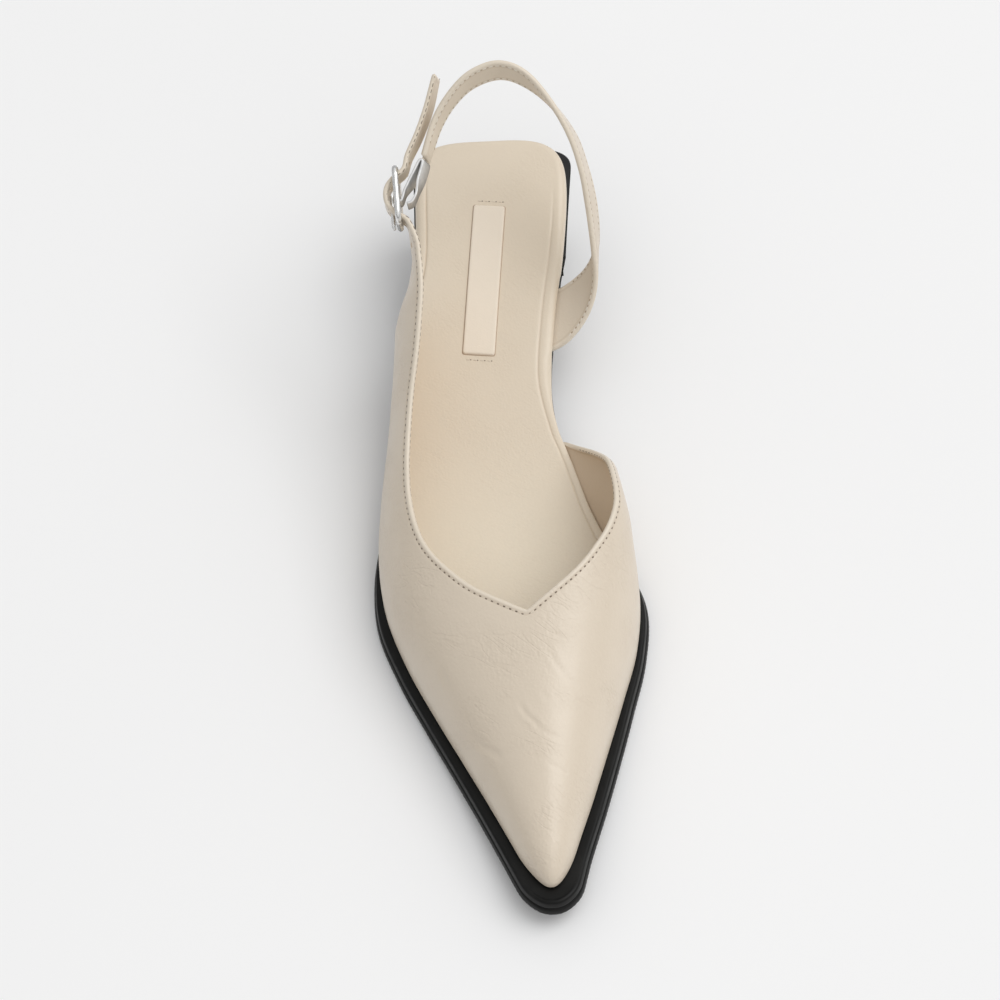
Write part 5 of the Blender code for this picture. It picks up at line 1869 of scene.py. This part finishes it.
@dataclass
class SoleUnit:
    """Black sole with a wide ledge, a grooved side and a fine notched lower edge."""

    last: Last
    back: float = 44.4
    toe_rounding: float = 8.5
    toe_power: float = 2.3
    count: int = 700
    notch_pitch: float = 1.7
    notch_depth: float = 0.18
    notch_starts: Pair = (110.0, 135.0)
    toe_slim: float = 0.6
    toe_slims_from: float = 240.0
    waist_flare: float = 0.3
    flare_grows: Pair = (110.0, 155.0)
    rows: tuple[SoleRow, ...] = (
        SoleRow(44, -0.4, -0.4, 24.2), SoleRow(67, 0.0, -0.2, 18.0), SoleRow(90, 0.3, -0.2, 10.9),
        SoleRow(110, 0.6, 0.0, 5.4), SoleRow(130, 1.2, 0.8, 1.6), SoleRow(150, 3.0, 2.0, -0.4),
        SoleRow(168, 3.9, 2.8, -0.5), SoleRow(187, 3.8, 2.9, -0.4), SoleRow(205, 3.8, 3.3, 0.3),
        SoleRow(222, 4.0, 3.8, 1.3), SoleRow(240, 4.3, 4.1, 2.8), SoleRow(256, 4.5, 4.3, 4.2),
        SoleRow(268, 4.5, 4.2, 5.3), SoleRow(274, 4.4, 4.1, 5.8),
    )
    side: tuple[Step, ...] = steps(
        (5.5, 1.0), (2.5, 1.0), (2.0, 0.995), (1.6, 0.98), (1.3, 0.95), (1.12, 0.91),
        (1.0, 0.85), (0.75, 0.67), (0.72, 0.63), (0.8, 0.605), (1.05, 0.585), (1.1, 0.55),
        (1.0, 0.515), (0.62, 0.49), (0.45, 0.46), (0.22, 0.36), (0.04, 0.22), (0.0, 0.15),
        (0.3, 0.06), (0.8, 0.0),
    )

    def outline(self) -> np.ndarray:
        """Plan outline of the sole."""
        stations = eased(self.back, self.last.sole_toe - 0.05, self.count)
        lateral, medial = self.last.outline(stations)
        lateral_margin = smooth(self.rows, "lateral_margin", stations)
        medial_margin = smooth(self.rows, "medial_margin", stations)
        lateral = lateral - lateral_margin * np.hypot(1, np.gradient(lateral, stations))
        medial = medial + medial_margin * np.hypot(1, np.gradient(medial, stations))
        keep = rounded_end(self.last.sole_toe - stations, self.toe_rounding, self.toe_power)
        return self.last.closed(stations, lateral, medial, keep)

    def build(self, wardrobe: Wardrobe) -> list[bpy.types.Object]:
        """Make and dress the sole."""
        ring = self.outline()
        count = len(ring)
        slim = 1 - self.toe_slim * fade(ring[:, 1], self.toe_slims_from, self.last.sole_toe)
        flared = self.waist_flare + (1 - self.waist_flare) * fade(ring[:, 1], *self.flare_grows)
        lengths = line_lengths(ring)
        notch = 0.5 + 0.5 * np.cos(lengths / self.notch_pitch * 2 * math.pi)
        notch = self.notch_depth * notch * fade(ring[:, 1], *self.notch_starts)
        layers = []
        for step in self.side:
            low = 1 - fade(step.level, 0.08, 0.2)
            inset = step.inset * (slim if step is self.side[0] else flared) + notch * low
            moved = inset_ring(ring, inset)
            underside = np.maximum(smooth(self.rows, "underside", moved[:, 1]), 0)
            height = underside + (self.last.floor(moved[:, 1]) - underside) * step.level
            layers.append(with_height(moved, height))
        faces = stacked_faces(len(layers), count)
        sole = add_piece("sole_unit", placed(np.concatenate(layers)), faces, wardrobe.all(SOLE_BLACK))
        face_outwards(sole)
        sole.data.set_sharp_from_angle(angle=math.radians(50))
        finish_piece(sole, "outsole")
        return [sole]


@dataclass
class BlockHeel:
    """Black block heel and the lift under it."""

    last: Last
    top: tuple[float, float, float, float] = (-0.4, 43.4, 27.5, 25.6)
    bottom: tuple[float, float, float, float] = (4.2, 46.4, 22.0, 21.4)
    centre_at_back: float = 1.0
    centre_turn: float = -0.09
    rounding: float = 11.0
    power: float = 3.2
    least_back: float = 0.3
    crowding: float = 1.8
    lift: float = 5.2
    lift_edge: float = 0.6
    edge: float = 0.5
    count: int = 90

    def ring(self, plan: tuple[float, float, float, float]) -> np.ndarray:
        """Plan outline: square at the breast, rounded at its back corners.

        Args:
            plan: Back and front station, half width at the back and at the front.

        Returns:
            The outline.
        """
        back, front, half_back, half_front = plan
        share = np.linspace(0, 1, self.count) ** self.crowding
        stations = back + (front - back) * share
        half = half_back + (half_front - half_back) * share
        half = half * np.maximum(rounded_end(stations - back, self.rounding, self.power), self.least_back)
        centre = self.centre_at_back + self.centre_turn * stations
        return evened_ring(self.last.turned(ring_of(stations, centre - half, centre + half)))

    def build(self, wardrobe: Wardrobe) -> list[bpy.types.Object]:
        """Make and dress the heel and its lift."""
        top, bottom = self.ring(self.top), self.ring(self.bottom)
        count = len(top)
        face = inset_ring(top, self.edge)
        layers = [
            with_height(face, self.last.floor(face[:, 1]) - SEAM_GAP / 2),
            with_height(top, self.last.floor(top[:, 1]) - SEAM_GAP / 2 - self.edge),
        ]
        foot = with_height(bottom, self.lift + SEAM_GAP)
        for share in (0.25, 0.5, 0.75, 1.0):
            layers.append(layers[1] * (1 - share) + foot * share)
        faces = stacked_faces(len(layers), count)
        body = add_piece("heel_body", placed(np.concatenate(layers)), faces, wardrobe.all(HEEL_BLACK))
        layers = [
            with_height(bottom, self.lift),
            with_height(bottom, self.lift_edge),
            with_height(inset_ring(bottom, self.lift_edge), 0),
        ]
        faces = stacked_faces(len(layers), count)
        lift = add_piece("heel_lift", placed(np.concatenate(layers)), faces, wardrobe.all(SOLE_BLACK))
        for piece, slot, node in ((body, "black_heel", "heel_block"), (lift, "black_sole", "heel_top_piece")):
            face_outwards(piece)
            soften(piece, 0.35, 3, 35)
            finish_piece(piece, node)
        return [body, lift]


@dataclass
class Studio:
    """Pale floor, soft light from the picture's right, and the camera."""

    eye: Triple = (0.0198, -0.4644, 0.7246)
    target: Triple = (0.0, -0.004, 0.03)
    right: Triple = (0.9945, -0.1045, 0.0)
    lens: float = 94.5
    world_strength: float = 0.91
    horizon: float = 0.2
    far_side: float = 0.62
    key_watts: float = 68.0
    key_spot: Triple = (2.3, 0.3, 3.8)
    key_size: float = 3.0
    floor_reach: float = 6.0

    def build(self) -> None:
        """Make the floor, the lights and the camera."""
        self.build_floor()
        self.build_lights()
        self.build_camera()
        bpy.context.scene.view_settings.view_transform = "Standard"

    def build_floor(self) -> None:
        """A plain pale floor."""
        reach = self.floor_reach
        corners = np.array([(-reach, -reach, 0), (reach, -reach, 0), (reach, reach, 0), (-reach, reach, 0)])
        made, graph, shader = new_material("studio_floor")
        place = graph.add("TexCoord").outputs["Object"]
        cloud = graph.add("TexNoise", Vector=place, Scale=3.0, Detail=1.0)
        share = graph.ranged(cloud.outputs["Fac"], 0.3, 0.7, 0.0, 1.0)
        graph.feed(shader.inputs["Base Color"], graph.blend(share, (0.90, 0.90, 0.90), (0.91, 0.91, 0.91)))
        shader.inputs["Roughness"].default_value = 0.9
        shader.inputs["Specular IOR Level"].default_value = 0.1
        floor = add_piece("studio_floor", corners, [(0, 1, 2, 3)], [made])

    def build_lights(self) -> None:
        """A large soft key on the right, with an even surround."""
        world = bpy.data.worlds.new("studio_surround")
        world.use_nodes = True
        surround = world.node_tree.nodes["Background"]
        graph = Graph(world.node_tree)
        way = graph.add("SeparateXYZ", Vector=graph.add("TexCoord").outputs["Generated"])
        upwards = graph.ranged(way.outputs["Z"], 0.05, 0.45, self.horizon, 1.0)
        across = graph.ranged(way.outputs["X"], -0.8, 0.5, self.far_side, 1.0)
        share = graph.math("MULTIPLY", upwards, across)
        graph.feed(surround.inputs["Color"], graph.blend(share, (0.0, 0.0, 0.0), (1.0, 1.0, 1.0)))
        surround.inputs["Strength"].default_value = self.world_strength
        bpy.context.scene.world = world
        self.add_light("key", self.key_spot, self.key_size, self.key_watts)

    def add_light(self, name: str, spot: Triple, size: float, watts: float) -> None:
        """Add a square soft light that faces the shoe.

        Args:
            name: Name of the light.
            spot: Where it stands, in metres.
            size: Side of the square in metres.
            watts: Its power.
        """
        light = bpy.data.lights.new(name, "AREA")
        light.size = size
        light.energy = watts
        lamp = bpy.data.objects.new(name, light)
        lamp.location = spot
        lamp.rotation_euler = (Vector(self.target) - Vector(spot)).to_track_quat("-Z", "Y").to_euler()
        bpy.context.scene.collection.objects.link(lamp)

    def build_camera(self) -> None:
        """The camera at the photograph's angle to the shoe."""
        lens = bpy.data.cameras.new("view")
        lens.lens = self.lens
        lens.sensor_width = 36.0
        camera = bpy.data.objects.new("view", lens)
        eye = Vector(self.eye)
        back = (eye - Vector(self.target)).normalized()
        right = Vector(self.right)
        right = (right - back * right.dot(back)).normalized()
        turn = Matrix((right, back.cross(right), back)).transposed()
        camera.matrix_world = Matrix.Translation(eye) @ turn.to_4x4()
        bpy.context.scene.collection.objects.link(camera)
        bpy.context.scene.camera = camera


def main() -> None:
    """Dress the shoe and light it."""
    logging.basicConfig(level=logging.INFO, format="%(name)s %(message)s")
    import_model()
    Studio().build()
    wardrobe = Wardrobe()
    last = Last()
    buckle = Buckle()
    pieces = []
    for part in (SoleUnit(last), BlockHeel(last), Insole(last), Upper(last, buckle), HeelStrap(), buckle):
        pieces += part.build(wardrobe)
    LOG.info("%d pieces made", len(pieces))


if __name__ == "__main__":
    main()
